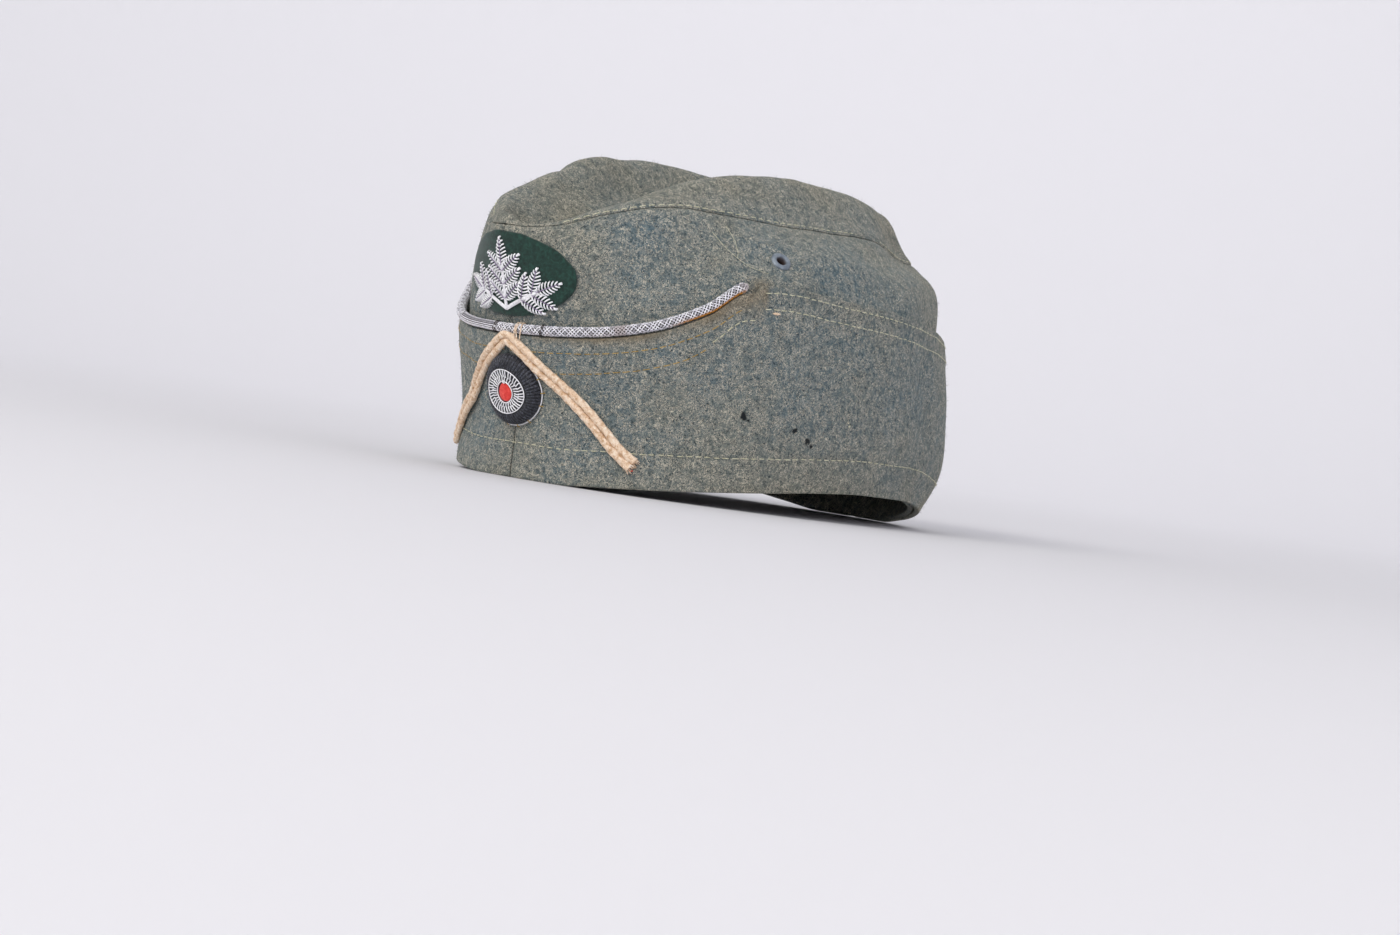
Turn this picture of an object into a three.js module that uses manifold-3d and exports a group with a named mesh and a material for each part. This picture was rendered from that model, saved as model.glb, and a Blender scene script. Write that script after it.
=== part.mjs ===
// A wool side cap: a soft crown folded fore and aft along its top, and a deep curtain turned up round it.
// It rests on its rim. The front faces -Y, the wearer's left is +X and up is +Z. Sizes are millimetres.
import * as THREE from 'three';
import { mergeVertices } from 'three/addons/utils/BufferGeometryUtils.js';
import Module from 'manifold-3d';

const wasm = await Module();
wasm.setup();

// Cloth and clearance
const CROWN_WALL = 2.0;
const CURTAIN_WALL = 2.5;
const CLEARANCE = 0.3;
const COLUMNS_PER_SIDE = 36;

// The corded piping lies along the curtain's edge from one peak to the other
const PIPING_RADIUS = 2.0;
const PIPING_SINK = 0.8;
const PIPING_END_TURN = 58;
const PIPING_NOTCH_TURN = 60;

// The chevron is a flat double cord that runs down to both sides of the cockade
const BRAID_WIDTH = 5.4;
const BRAID_HEIGHT = 1.8;
const BRAID_STEPS = 36;

// Round cockade: a domed black rim, a ring lying on it, and a button in the middle
const COCKADE_RADIUS = 13.4;
const RING_RADIUS = 9.0;
const BUTTON_RADIUS = 4.2;
const DOME_HEIGHT = 5.4;
const DOME_SEAT = 4.6;

// Painted eyelets, one on each side above the curtain's peak
const EYELET_PLACE = { turn: 72, rise: 5.1 };
const EYELET_RADIUS = 4.1;
const EYELET_BARREL = 2.75;
const EYELET_BORE = 1.95;

// The badge in front: three sprigs of leaves fanned out from one root on an oval cloth backing.
// A sprig's leaves are given by how far up they start and how far they lean aside, in degrees.
const BACKING = { halfWidth: 28, halfHeight: 15.5, thickness: 0.8 };
const LEAF = { length: 10.5, width: 4.6, thickness: 0.7, bevel: 0.35 };
const STEM = { bottom: -12.5, top: 4, width: 1.3 };
const TIP_LEAF = { up: 3, lean: 0 };
const UPPER_LEAVES = [{ up: -4, lean: 50 }, { up: -4, lean: -50 }, { up: 1, lean: 50 }, { up: 1, lean: -50 }];
const LOWER_LEAVES = [{ up: -9, lean: 50 }, { up: -9, lean: -50 }];
const SIDE_SPRIG_LEAN = 64;

// Level sections of the curtain's outer face, rim first. side is the half width, front and back the
// reach along Y, and middle the Y of the widest place. bow and stern say how the plan closes in front
// and behind: 1 is an ellipse, less is squarer, more is more pointed.
const CURTAIN_SECTIONS = [
  { level: 'rim', side: 82.2, front: -102.8, back: 99.9, middle: -0.4, bow: 0.88, stern: 0.95 },
  { level: 'low', side: 84.3, front: -103.6, back: 109.2, middle: -1.1, bow: 0.95, stern: 0.94 },
  { level: 'half', side: 85.9, front: -105.8, back: 107.4, middle: -1.9, bow: 0.95, stern: 0.98 },
  { level: 'high', side: 85.9, front: -112.3, back: 102.8, middle: -2.8, bow: 0.97, stern: 1 },
  { level: 'edge', side: 84.8, front: -115.8, back: 98.9, middle: -3.5, bow: 1, stern: 1 },
];

// The crown runs up inside the curtain, then over its two ridges and down into the fold between them
const CROWN_SECTIONS = [
  { level: 'rim', lift: 0.5, side: 79.1, front: -99.7, back: 96.8, middle: -0.4, bow: 0.88,
    stern: 0.95 },
  { level: 'low', side: 81.0, front: -100.3, back: 105.9, middle: -1.1, bow: 0.95, stern: 0.94 },
  { level: 'half', side: 82.6, front: -102.3, back: 104.0, middle: -1.9, bow: 0.95, stern: 0.98 },
  { level: 'high', side: 82.4, front: -107.6, back: 99.2, middle: -2.8, bow: 0.97, stern: 1 },
  { level: 'edge', side: 81.2, front: -111.4, back: 95.2, middle: -3.5, bow: 1, stern: 1 },
  { level: 'body', side: 73.1, front: -118.2, back: 99.0, middle: -8.4, bow: 1.08, stern: 1 },
  { level: 'seam', side: 54.1, front: -123.9, back: 96.8, middle: -13.2, bow: 1.22, stern: 0.97 },
  { level: 'ridge', side: 36.0, front: -120.8, back: 84.6, middle: -18.2, bow: 1.1, stern: 1 },
  { level: 'slope', side: 19.1, front: -116.4, back: 72.1, middle: -17.6, bow: 1.1, stern: 1.1 },
  { level: 'fold', side: 3.2, front: -109.9, back: 59.6, middle: -17.2, bow: 1.1, stern: 1.2 },
];
const EDGE = 4;
const SEAM = 6;
const FOLD = 9;
const SEAM_MARGIN = 0.1;
const PIPING_STEPS = 46;
const HALVINGS = 18;
const MERGE_DISTANCE = 1e-4;

// Places on the curtain and crown are given as seen from the front, across and up
const COCKADE_PLACE = { across: 0.9, up: 33.4 };
const BADGE_PLACE = { across: 0, up: 76 };
const BRAID_ROUTE = [
  { across: -48.0, up: 11.3 },
  { across: -43.5, up: 16.0 },
  { across: -35.3, up: 23.5 },
  { across: -28.0, up: 28.8 },
  { across: -22.2, up: 35.6 },
  { across: -14.3, up: 42.8 },
  { across: -7.8, up: 47.4 },
  { across: -2.5, up: 50.5 },
  { across: 1.5, up: 51.6 },
  { across: 5.5, up: 50.6 },
  { across: 10.0, up: 47.6 },
  { across: 16.5, up: 41.7 },
  { across: 24.0, up: 35.8 },
  { across: 31.5, up: 28.9 },
  { across: 37.1, up: 22.8 },
  { across: 42.4, up: 16.6 },
  { across: 48.0, up: 11.6 },
];

// Height of each level in one direction round the cap: turn 0 is the front, 90 a side, 180 the back.
// The right ridge stands a little higher than the left one in front, and the rim is flat where it rests.
const HEIGHTS = [
  { turn: 0, rim: 0, low: 17.7, half: 32.4, high: 47.0, edge: 55.5, body: 73.3, seam: 94.2, ridge: 98.1,
    rightRidge: 98.1, slope: 93.5, fold: 89.5 },
  { turn: 12, rim: 0, low: 17.9, half: 32.7, high: 47.5, edge: 56.1, body: 74.2, seam: 94.3, ridge: 94.6,
    rightRidge: 99.3, slope: 91.7, fold: 90.1 },
  { turn: 25, rim: 1.4, low: 18.5, half: 33.6, high: 49.0, edge: 58.2, body: 76.8, seam: 96.7, ridge: 96.9,
    rightRidge: 102.3, slope: 94.2, fold: 91.5 },
  { turn: 38, rim: 3.0, low: 19.4, half: 35.0, high: 52.9, edge: 63.2, body: 80.2, seam: 103.2, ridge: 103.9,
    rightRidge: 107.1, slope: 99.4, fold: 93.9 },
  { turn: 50, rim: 4.9, low: 20.7, half: 36.8, high: 60.5, edge: 73.0, body: 83.7, seam: 108.7, ridge: 110.8,
    rightRidge: 113.9, slope: 104.8, fold: 97.4 },
  { turn: 58, rim: 6.3, low: 22.2, half: 38.9, high: 63.9, edge: 83.6, body: 88.4, seam: 110.2, ridge: 116.5,
    rightRidge: 119.7, slope: 107.8, fold: 99.6 },
  { turn: 68, rim: 8.1, low: 24.5, half: 42.2, high: 64.8, edge: 85.7, body: 92.4, seam: 110.1, ridge: 122.7,
    rightRidge: 126.6, slope: 110.5, fold: 101.7 },
  { turn: 80, rim: 10.3, low: 27.1, half: 45.8, high: 65.8, edge: 84.5, body: 96.1, seam: 110.3, ridge: 127.5,
    rightRidge: 130.9, slope: 113.4, fold: 104.0 },
  { turn: 95, rim: 11.7, low: 28.7, half: 47.8, high: 66.9, edge: 83.3, body: 98.5, seam: 111.2, ridge: 129.9,
    rightRidge: 132.0, slope: 115.1, fold: 105.5 },
  { turn: 112, rim: 11.5, low: 27.6, half: 47.2, high: 66.2, edge: 81.2, body: 97.9, seam: 112.5, ridge: 130.0,
    rightRidge: 130.9, slope: 115.3, fold: 106.2 },
  { turn: 135, rim: 7.4, low: 24.4, half: 44.5, high: 63.5, edge: 77.2, body: 95.1, seam: 107.5, ridge: 126.1,
    rightRidge: 126.1, slope: 114.2, fold: 106.5 },
  { turn: 158, rim: 2.0, low: 20.1, half: 39.1, high: 58.0, edge: 73.1, body: 88.6, seam: 99.9, ridge: 117.4,
    rightRidge: 117.4, slope: 107.2, fold: 101.4 },
  { turn: 169, rim: 0, low: 18.7, half: 37.0, high: 56.0, edge: 71.9, body: 86.0, seam: 97.3, ridge: 112.7,
    rightRidge: 112.7, slope: 104.5, fold: 99.2 },
  { turn: 180, rim: 0, low: 17.3, half: 35.3, high: 54.2, edge: 71.0, body: 83.8, seam: 95.3, ridge: 107.5,
    rightRidge: 107.5, slope: 101.7, fold: 96.9 },
];

const PAINT = {
  wool: { color: 0x626b63, roughness: 0.95, metalness: 0 },
  silver: { color: 0xc6c4c6, roughness: 0.45, metalness: 0.7 },
  braid: { color: 0xe6cfae, roughness: 0.9, metalness: 0 },
  black: { color: 0x23242b, roughness: 0.85, metalness: 0 },
  red: { color: 0xe23b34, roughness: 0.8, metalness: 0 },
  eyelet: { color: 0x6b7689, roughness: 0.4, metalness: 0.3 },
  backing: { color: 0x23423b, roughness: 0.95, metalness: 0 },
};

// A smooth curve through one column of HEIGHTS that never swings past its values
function columnHeight(column, turn) {
  const last = HEIGHTS.length - 1;
  let row = 0;
  while (row < last - 1 && turn > HEIGHTS[row + 1].turn) row += 1;
  const rate = (k) => (HEIGHTS[k + 1][column] - HEIGHTS[k][column]) / (HEIGHTS[k + 1].turn - HEIGHTS[k].turn);
  const slope = (k) => {
    if (k === 0 || k === last) return 0;
    const before = rate(k - 1);
    const after = rate(k);
    return before * after > 0 ? (2 * before * after) / (before + after) : 0;
  };
  const span = HEIGHTS[row + 1].turn - HEIGHTS[row].turn;
  const t = (turn - HEIGHTS[row].turn) / span;
  const start = HEIGHTS[row][column];
  const end = HEIGHTS[row + 1][column];
  const ease = t * t * (3 - 2 * t);
  return start + (end - start) * ease
    + span * (slope(row) * t * (1 - t) ** 2 - slope(row + 1) * t * t * (1 - t));
}

// Left side turns run from 0 to 180, right side turns from 0 to -180
function levelHeight(level, turn) {
  const column = level === 'ridge' && turn < 0 ? 'rightRidge' : level;
  return columnHeight(column, Math.abs(turn));
}

function sectionPoint(section, turn) {
  const within = turn > 180 ? turn - 360 : turn < -180 ? turn + 360 : turn;
  const angle = THREE.MathUtils.degToRad(within);
  const ahead = Math.cos(angle);
  const aside = Math.sin(angle);
  const power = THREE.MathUtils.lerp(section.stern, section.bow, (1 + ahead) / 2);
  const reach = ahead > 0 ? section.front - section.middle : section.middle - section.back;
  return new THREE.Vector3(
    section.side * Math.sign(aside) * Math.abs(aside) ** power,
    section.middle + reach * ahead,
    levelHeight(section.level, within) + (section.lift ?? 0),
  );
}

// A cloth is the smooth surface through its sections. rise counts sections up from the first one.
function clothThrough(sections) {
  const top = sections.length - 1;
  const at = (turn, rise) => {
    const rib = new THREE.CatmullRomCurve3(sections.map((s) => sectionPoint(s, turn)), false, 'centripetal');
    return rib.getPoint(THREE.MathUtils.clamp(rise / top, 0, 1));
  };
  const outward = (turn, rise) => {
    const across = at(turn + 1, rise).sub(at(turn - 1, rise));
    const upward = at(turn, Math.min(rise + 0.02, top)).sub(at(turn, Math.max(rise - 0.02, 0)));
    return across.cross(upward).normalize();
  };
  // the rise that lies a distance in millimetres above the given one
  const riseAbove = (turn, rise, distance) => {
    const step = 0.01;
    const speed = at(turn, rise + step).distanceTo(at(turn, rise - step)) / (2 * step);
    return rise + distance / speed;
  };
  return { at, outward, riseAbove, top };
}

const crown = clothThrough(CROWN_SECTIONS);
const curtain = clothThrough(CURTAIN_SECTIONS);

function geometryFrom(points, triangles) {
  const geometry = new THREE.BufferGeometry();
  geometry.setAttribute('position', new THREE.Float32BufferAttribute(points.flatMap((p) => p.toArray()), 3));
  geometry.setIndex(triangles.flat());
  return geometry;
}

function steps(from, to, count) {
  return Array.from({ length: count + 1 }, (_, i) => THREE.MathUtils.lerp(from, to, i / count));
}

// Two grids of points, outer and inner, row by row. The rim's underside is level, and the cut edges
// above and below the seam are parallel.
function wallGrids(cloth, turns, rows, thickness, low, high) {
  const outer = [];
  const inner = [];
  for (let row = 0; row <= rows; row += 1) {
    for (const turn of turns) {
      const rise = THREE.MathUtils.lerp(low(turn), high(turn), row / rows);
      const point = cloth.at(turn, rise);
      const facing = cloth.outward(turn, Math.abs(rise - SEAM) < SEAM_MARGIN ? SEAM : rise);
      if (rise === 0) facing.setZ(0).normalize();
      outer.push(point);
      inner.push(point.clone().addScaledVector(facing, -thickness));
    }
  }
  return { outer, inner };
}

function quad(a, b, c, d) {
  return [[a, b, c], [a, c, d]];
}

// One side panel, left or right, closed along its four edges and split from the other at x = 0
function sidePanel(cloth, side, rows, thickness, low, high) {
  const turns = side > 0 ? steps(0, 180, COLUMNS_PER_SIDE) : steps(-180, 0, COLUMNS_PER_SIDE);
  const { outer, inner } = wallGrids(cloth, turns, rows, thickness, low, high);
  const points = [...outer, ...inner];
  for (const point of points) point.x = side * Math.max(side * point.x, CLEARANCE / 2);
  const width = turns.length;
  const back = outer.length;
  const triangles = [];
  for (let row = 0; row < rows; row += 1) {
    for (let i = 0; i < width - 1; i += 1) {
      const a = row * width + i;
      triangles.push(...quad(a, a + 1, a + 1 + width, a + width));
      triangles.push(...quad(back + a, back + a + width, back + a + 1 + width, back + a + 1));
    }
    const start = row * width;
    const end = start + width - 1;
    triangles.push(...quad(start, start + width, back + start + width, back + start));
    triangles.push(...quad(end + width, end, back + end, back + end + width));
  }
  for (let i = 0; i < width - 1; i += 1) {
    const top = rows * width + i;
    triangles.push(...quad(i + 1, i, back + i, back + i + 1));
    triangles.push(...quad(top, top + 1, back + top + 1, back + top));
  }
  return geometryFrom(points, triangles);
}

// The top piece runs all round from the seam over the ridges and is joined to itself along the fold
function crownTopGeometry(rows) {
  const turns = steps(-180, 180, 2 * COLUMNS_PER_SIDE).slice(0, -1);
  const low = (turn) => crown.riseAbove(turn, SEAM, CLEARANCE / 2);
  const { outer, inner } = wallGrids(crown, turns, rows, CROWN_WALL, low, () => FOLD);
  const width = turns.length;
  const back = outer.length;
  const triangles = [];
  for (let i = 0; i < width; i += 1) {
    const next = (i + 1) % width;
    for (let row = 0; row < rows; row += 1) {
      const a = row * width;
      triangles.push(...quad(a + i, a + next, a + next + width, a + i + width));
      triangles.push(...quad(back + a + i, back + a + i + width, back + a + next + width, back + a + next));
    }
    triangles.push(...quad(next, i, back + i, back + next));
  }
  const loop = rows * width;
  const mirrored = (i) => (width - i) % width;
  for (let i = 0; i < COLUMNS_PER_SIDE; i += 1) {
    const right = [i, i + 1];
    const left = right.map(mirrored);
    const strip = i === 0
      ? [[right[0], right[1], left[1]]]
      : i === COLUMNS_PER_SIDE - 1
        ? [[right[0], right[1], left[0]]]
        : quad(right[0], right[1], left[1], left[0]);
    for (const [a, b, c] of strip) {
      triangles.push([loop + a, loop + b, loop + c]);
      triangles.push([back + loop + a, back + loop + c, back + loop + b]);
    }
  }
  return geometryFrom([...outer, ...inner], triangles);
}

const cap = new THREE.Group();

function addPiece(name, geometry, paint) {
  const mesh = new THREE.Mesh(geometry, new THREE.MeshStandardMaterial(paint));
  mesh.name = name;
  cap.add(mesh);
  return mesh;
}

// The turn and rise of the point on a cloth that is seen from the front at a place across and up
function seenFromFront(cloth, across, up, low, high) {
  const halve = (from, to, tooSmall) => {
    let [small, large] = [from, to];
    for (let pass = 0; pass < HALVINGS; pass += 1) {
      const between = (small + large) / 2;
      if (tooSmall(between)) small = between;
      else large = between;
    }
    return (small + large) / 2;
  };
  const turnAt = (rise) => halve(-90, 90, (turn) => cloth.at(turn, rise).x < across);
  const rise = halve(low, high, (r) => cloth.at(turnAt(r), r).z < up);
  return { turn: turnAt(rise), rise };
}

// Bends a flat piece onto a cloth: its x and y run across and up, and its z stands off the cloth
function laidOn(geometry, cloth, place, low, high) {
  const points = geometry.getAttribute('position');
  const point = new THREE.Vector3();
  for (let i = 0; i < points.count; i += 1) {
    point.fromBufferAttribute(points, i);
    const spot = seenFromFront(cloth, place.across + point.x, place.up + point.y, low, high);
    const facing = cloth.outward(spot.turn, spot.rise);
    const laid = cloth.at(spot.turn, spot.rise).addScaledVector(facing, point.z);
    points.setXYZ(i, laid.x, laid.y, laid.z);
  }
  return geometry;
}

function merged(geometry) {
  const bare = geometry.index ? geometry.toNonIndexed() : geometry.clone();
  for (const name of Object.keys(bare.attributes)) {
    if (name !== 'position') bare.deleteAttribute(name);
  }
  return mergeVertices(bare, MERGE_DISTANCE);
}

function solidFrom(geometry) {
  const closed = merged(geometry);
  return new wasm.Manifold(new wasm.Mesh({
    numProp: 3,
    vertProperties: new Float32Array(closed.getAttribute('position').array),
    triVerts: new Uint32Array(closed.index.array),
  }));
}

function geometryOfSolid(solid) {
  const mesh = solid.getMesh();
  const geometry = new THREE.BufferGeometry();
  geometry.setAttribute('position', new THREE.BufferAttribute(new Float32Array(mesh.vertProperties), 3));
  geometry.setIndex([...mesh.triVerts]);
  return geometry;
}

// A turned piece whose axis is its z: each profile row is a radius and a height
function turned(profile, segments) {
  const rows = profile.map(([radius, height]) => new THREE.Vector2(radius, height));
  return merged(new THREE.LatheGeometry(rows, segments).rotateX(Math.PI / 2));
}

function radiusSteps(radius, height, count) {
  return steps(0, radius, count).map((r) => [r, height]);
}

// Places a piece with its z axis along the cloth's outward direction
function standOn(geometry, cloth, turn, rise) {
  const facing = cloth.outward(turn, rise);
  const spin = new THREE.Quaternion().setFromUnitVectors(new THREE.Vector3(0, 0, 1), facing);
  const at = cloth.at(turn, rise);
  return geometry.applyQuaternion(spin).translate(at.x, at.y, at.z);
}

function pipingGeometry() {
  const turns = steps(-PIPING_END_TURN, PIPING_END_TURN, PIPING_STEPS);
  const route = new THREE.CatmullRomCurve3(turns.map((turn) => (
    curtain.at(turn, EDGE).addScaledVector(curtain.outward(turn, EDGE), -PIPING_SINK)
  )));
  const section = new THREE.Shape().absarc(0, 0, PIPING_RADIUS, 0, 2 * Math.PI);
  return merged(new THREE.ExtrudeGeometry(section, {
    curveSegments: 5, steps: PIPING_STEPS, extrudePath: route, bevelEnabled: false,
  }));
}

// Two rounded cords side by side on a flat base, as places across the braid and heights over the cloth
function braidSection() {
  const cord = BRAID_WIDTH / 4;
  const shoulder = BRAID_HEIGHT / 2;
  const points = [[-1.7 * cord, CLEARANCE], [-2 * cord, shoulder]];
  for (const middle of [-cord, cord]) {
    for (const degrees of [120, 60]) {
      const angle = THREE.MathUtils.degToRad(degrees);
      points.push([middle + cord * Math.cos(angle), shoulder + shoulder * Math.sin(angle)]);
    }
    points.push(middle < 0 ? [0, shoulder] : [2 * cord, shoulder]);
  }
  points.push([1.7 * cord, CLEARANCE]);
  return points;
}

function braidGeometry() {
  const plan = new THREE.CatmullRomCurve3(BRAID_ROUTE.map((p) => new THREE.Vector3(p.across, p.up, 0)));
  const spots = plan.getSpacedPoints(BRAID_STEPS).map((p) => seenFromFront(curtain, p.x, p.y, 0, EDGE));
  const route = spots.map(({ turn, rise }) => curtain.at(turn, rise));
  const section = braidSection();
  const points = [];
  spots.forEach(({ turn, rise }, i) => {
    const facing = curtain.outward(turn, rise);
    const along = route[Math.min(i + 1, BRAID_STEPS)].clone().sub(route[Math.max(i - 1, 0)]).normalize();
    const across = along.clone().cross(facing).normalize();
    for (const [sideways, height] of section) {
      points.push(route[i].clone().addScaledVector(across, sideways).addScaledVector(facing, height));
    }
  });
  const sides = section.length;
  const triangles = [];
  for (let i = 0; i < BRAID_STEPS; i += 1) {
    for (let k = 0; k < sides; k += 1) {
      const next = (k + 1) % sides;
      triangles.push(...quad(i * sides + k, i * sides + next, (i + 1) * sides + next, (i + 1) * sides + k));
    }
  }
  const end = BRAID_STEPS * sides;
  const middles = [0, end].map((start) => {
    const total = new THREE.Vector3();
    for (let k = 0; k < sides; k += 1) total.add(points[start + k]);
    return total.divideScalar(sides);
  });
  const middle = points.push(...middles) - 2;
  for (let k = 0; k < sides; k += 1) {
    const next = (k + 1) % sides;
    triangles.push([middle, next, k], [middle + 1, end + k, end + next]);
  }
  return geometryFrom(points, triangles);
}

function cockadeDomeGeometry() {
  const shoulder = [
    [COCKADE_RADIUS, 0.9],
    [COCKADE_RADIUS - 0.4, 2.8],
    [COCKADE_RADIUS - 1.8, 4.5],
    [RING_RADIUS + 0.8, DOME_HEIGHT],
    [RING_RADIUS + 0.3, DOME_SEAT],
  ];
  const back = radiusSteps(COCKADE_RADIUS - 0.4, CLEARANCE, 3);
  return turned([...back, ...shoulder, ...radiusSteps(RING_RADIUS / 2, DOME_SEAT, 1).reverse()], 20);
}

function cockadeRingGeometry() {
  const seat = DOME_SEAT + CLEARANCE;
  const hole = BUTTON_RADIUS + CLEARANCE;
  const middle = (hole + RING_RADIUS) / 2;
  return turned([
    [hole, seat], [middle, seat], [RING_RADIUS, seat], [RING_RADIUS, seat + 0.7],
    [middle, seat + 1.2], [hole, seat + 0.9], [hole, seat],
  ], 20);
}

function cockadeButtonGeometry() {
  const seat = DOME_SEAT + CLEARANCE;
  return turned([
    [0, seat], [BUTTON_RADIUS, seat], [BUTTON_RADIUS, seat + 0.8],
    [BUTTON_RADIUS * 0.6, seat + 1.5], [0, seat + 1.7],
  ], 16);
}

function eyeletGeometry() {
  const inside = -CROWN_WALL - CLEARANCE;
  return turned([
    [EYELET_BORE, inside - 0.7], [EYELET_RADIUS - 0.3, inside - 0.7], [EYELET_RADIUS - 0.3, inside],
    [EYELET_BARREL, inside], [EYELET_BARREL, CLEARANCE], [EYELET_RADIUS, CLEARANCE],
    [EYELET_RADIUS - 0.3, 0.9], [EYELET_BARREL, 1.2], [EYELET_BORE, 0.7], [EYELET_BORE, inside - 0.7],
  ], 14);
}

function withEyeletHole(geometry, turn) {
  const drill = new THREE.CylinderGeometry(EYELET_BARREL + CLEARANCE, EYELET_BARREL + CLEARANCE, 12, 14);
  const cutter = standOn(drill.rotateX(Math.PI / 2), crown, turn, EYELET_PLACE.rise);
  return geometryOfSolid(solidFrom(geometry).subtract(solidFrom(cutter)));
}

function backingGeometry() {
  const top = CLEARANCE + BACKING.thickness;
  const under = radiusSteps(1, CLEARANCE, 4);
  const face = radiusSteps(1, top, 4).reverse();
  return turned([...under, ...face], 20).scale(BACKING.halfWidth, BACKING.halfHeight, 1);
}

function leafGeometry() {
  const half = LEAF.width / 2 - LEAF.bevel;
  const tip = LEAF.length - LEAF.bevel;
  const shape = new THREE.Shape();
  shape.moveTo(0, 0);
  shape.quadraticCurveTo(2.1 * half, tip * 0.45, 0, tip);
  shape.quadraticCurveTo(-2.1 * half, tip * 0.45, 0, 0);
  return new THREE.ExtrudeGeometry(shape, {
    depth: LEAF.thickness, curveSegments: 3, bevelThickness: LEAF.bevel, bevelSize: LEAF.bevel,
    bevelSegments: 1,
  });
}

// A stem and its leaves, joined into one flat sprig
function sprigSolid(leaves) {
  const height = LEAF.thickness + LEAF.bevel;
  const length = STEM.top - STEM.bottom;
  const stem = new THREE.BoxGeometry(STEM.width, length, height)
    .translate(0, STEM.bottom + length / 2, height / 2);
  let sprig = solidFrom(stem);
  for (const { up, lean } of leaves) {
    const leaf = leafGeometry().rotateZ(THREE.MathUtils.degToRad(-lean)).translate(0, up, 0);
    sprig = sprig.add(solidFrom(leaf));
  }
  return sprig;
}

function sprigGeometry() {
  const base = 2 * CLEARANCE + BACKING.thickness + LEAF.bevel;
  const side = sprigSolid([TIP_LEAF, ...UPPER_LEAVES]);
  let fan = sprigSolid([TIP_LEAF, ...UPPER_LEAVES, ...LOWER_LEAVES]);
  for (const lean of [-SIDE_SPRIG_LEAN, SIDE_SPRIG_LEAN]) {
    fan = fan.add(side.translate(0, -STEM.bottom, 0).rotate([0, 0, lean]).translate(0, STEM.bottom, 0));
  }
  return geometryOfSolid(fan).translate(0, 0, base);
}

const curtainTop = (turn) => (
  Math.abs(turn) <= PIPING_NOTCH_TURN ? curtain.riseAbove(turn, EDGE, -PIPING_RADIUS - CLEARANCE) : EDGE
);
const sideTop = (turn) => crown.riseAbove(turn, SEAM, -CLEARANCE / 2);

for (const [name, side] of [['left', 1], ['right', -1]]) {
  const eyeletTurn = side * EYELET_PLACE.turn;
  const panel = sidePanel(crown, side, 8, CROWN_WALL, () => 0, sideTop);
  addPiece(`crown_side_${name}`, withEyeletHole(panel, eyeletTurn), PAINT.wool);
  addPiece(`curtain_${name}`, sidePanel(curtain, side, 6, CURTAIN_WALL, () => 0, curtainTop), PAINT.wool);
  addPiece(`eyelet_${name}`, standOn(eyeletGeometry(), crown, eyeletTurn, EYELET_PLACE.rise), PAINT.eyelet);
}
addPiece('crown_top', crownTopGeometry(7), PAINT.wool);
addPiece('piping', pipingGeometry(), PAINT.silver);
addPiece('chevron_braid', braidGeometry(), PAINT.braid);

const onCurtain = (geometry) => laidOn(geometry, curtain, COCKADE_PLACE, 0, EDGE);
addPiece('cockade_dome', onCurtain(cockadeDomeGeometry()), PAINT.black);
addPiece('cockade_ring', onCurtain(cockadeRingGeometry()), PAINT.silver);
addPiece('cockade_button', onCurtain(cockadeButtonGeometry()), PAINT.red);

const onCrown = (geometry) => laidOn(geometry, crown, BADGE_PLACE, EDGE, SEAM);
addPiece('badge_backing', onCrown(backingGeometry()), PAINT.backing);
addPiece('badge_sprig', onCrown(sprigGeometry()), PAINT.silver);

// The origin is on the floor under the middle of the cap's length
const extent = new THREE.Box3().setFromObject(cap);
cap.position.y = -(extent.min.y + extent.max.y) / 2;

export default cap;
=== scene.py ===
"""The looks of a wool side cap: felted cloth, silver piping, a cotton chevron, a cockade and a badge."""

import math
import random

import bpy
import numpy as np
from mathutils import Matrix, Vector, noise


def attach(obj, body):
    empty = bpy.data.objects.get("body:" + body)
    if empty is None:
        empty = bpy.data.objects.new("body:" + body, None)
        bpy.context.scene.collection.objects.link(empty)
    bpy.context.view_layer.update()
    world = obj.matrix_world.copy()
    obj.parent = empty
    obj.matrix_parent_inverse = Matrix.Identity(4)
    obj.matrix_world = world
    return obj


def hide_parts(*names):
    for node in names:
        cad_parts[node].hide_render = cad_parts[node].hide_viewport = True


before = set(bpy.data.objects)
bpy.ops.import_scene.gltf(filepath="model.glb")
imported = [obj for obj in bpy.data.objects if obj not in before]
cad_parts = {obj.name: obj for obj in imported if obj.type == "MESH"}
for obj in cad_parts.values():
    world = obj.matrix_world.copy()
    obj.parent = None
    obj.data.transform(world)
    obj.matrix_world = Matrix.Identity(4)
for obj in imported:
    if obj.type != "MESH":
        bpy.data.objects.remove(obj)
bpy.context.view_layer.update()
rng = random.Random(7)

# The cap's own tables are in millimetres about the middle of its head opening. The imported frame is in
# metres about the middle of its length.
MM = 0.001
LENGTH_SHIFT = Vector((0.0, 8.352, 0.0))

CROWN_WALL = 2.0
CURTAIN_WALL = 2.5
PIPING_RADIUS = 2.0
PIPING_SINK = 0.8
PIPING_END_TURN = 58
PIPING_NOTCH_TURN = 60
NOTCH_DEPTH = 1.3
COCKADE_RADIUS = 13.4
RING_RADIUS = 9.0
EYELET_TURN = 72
EYELET_RISE = 5.1
EYELET_BARREL = 2.75
EYELET_BORE = 1.95
EDGE = 4
SEAM = 6
FOLD = 9

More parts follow.
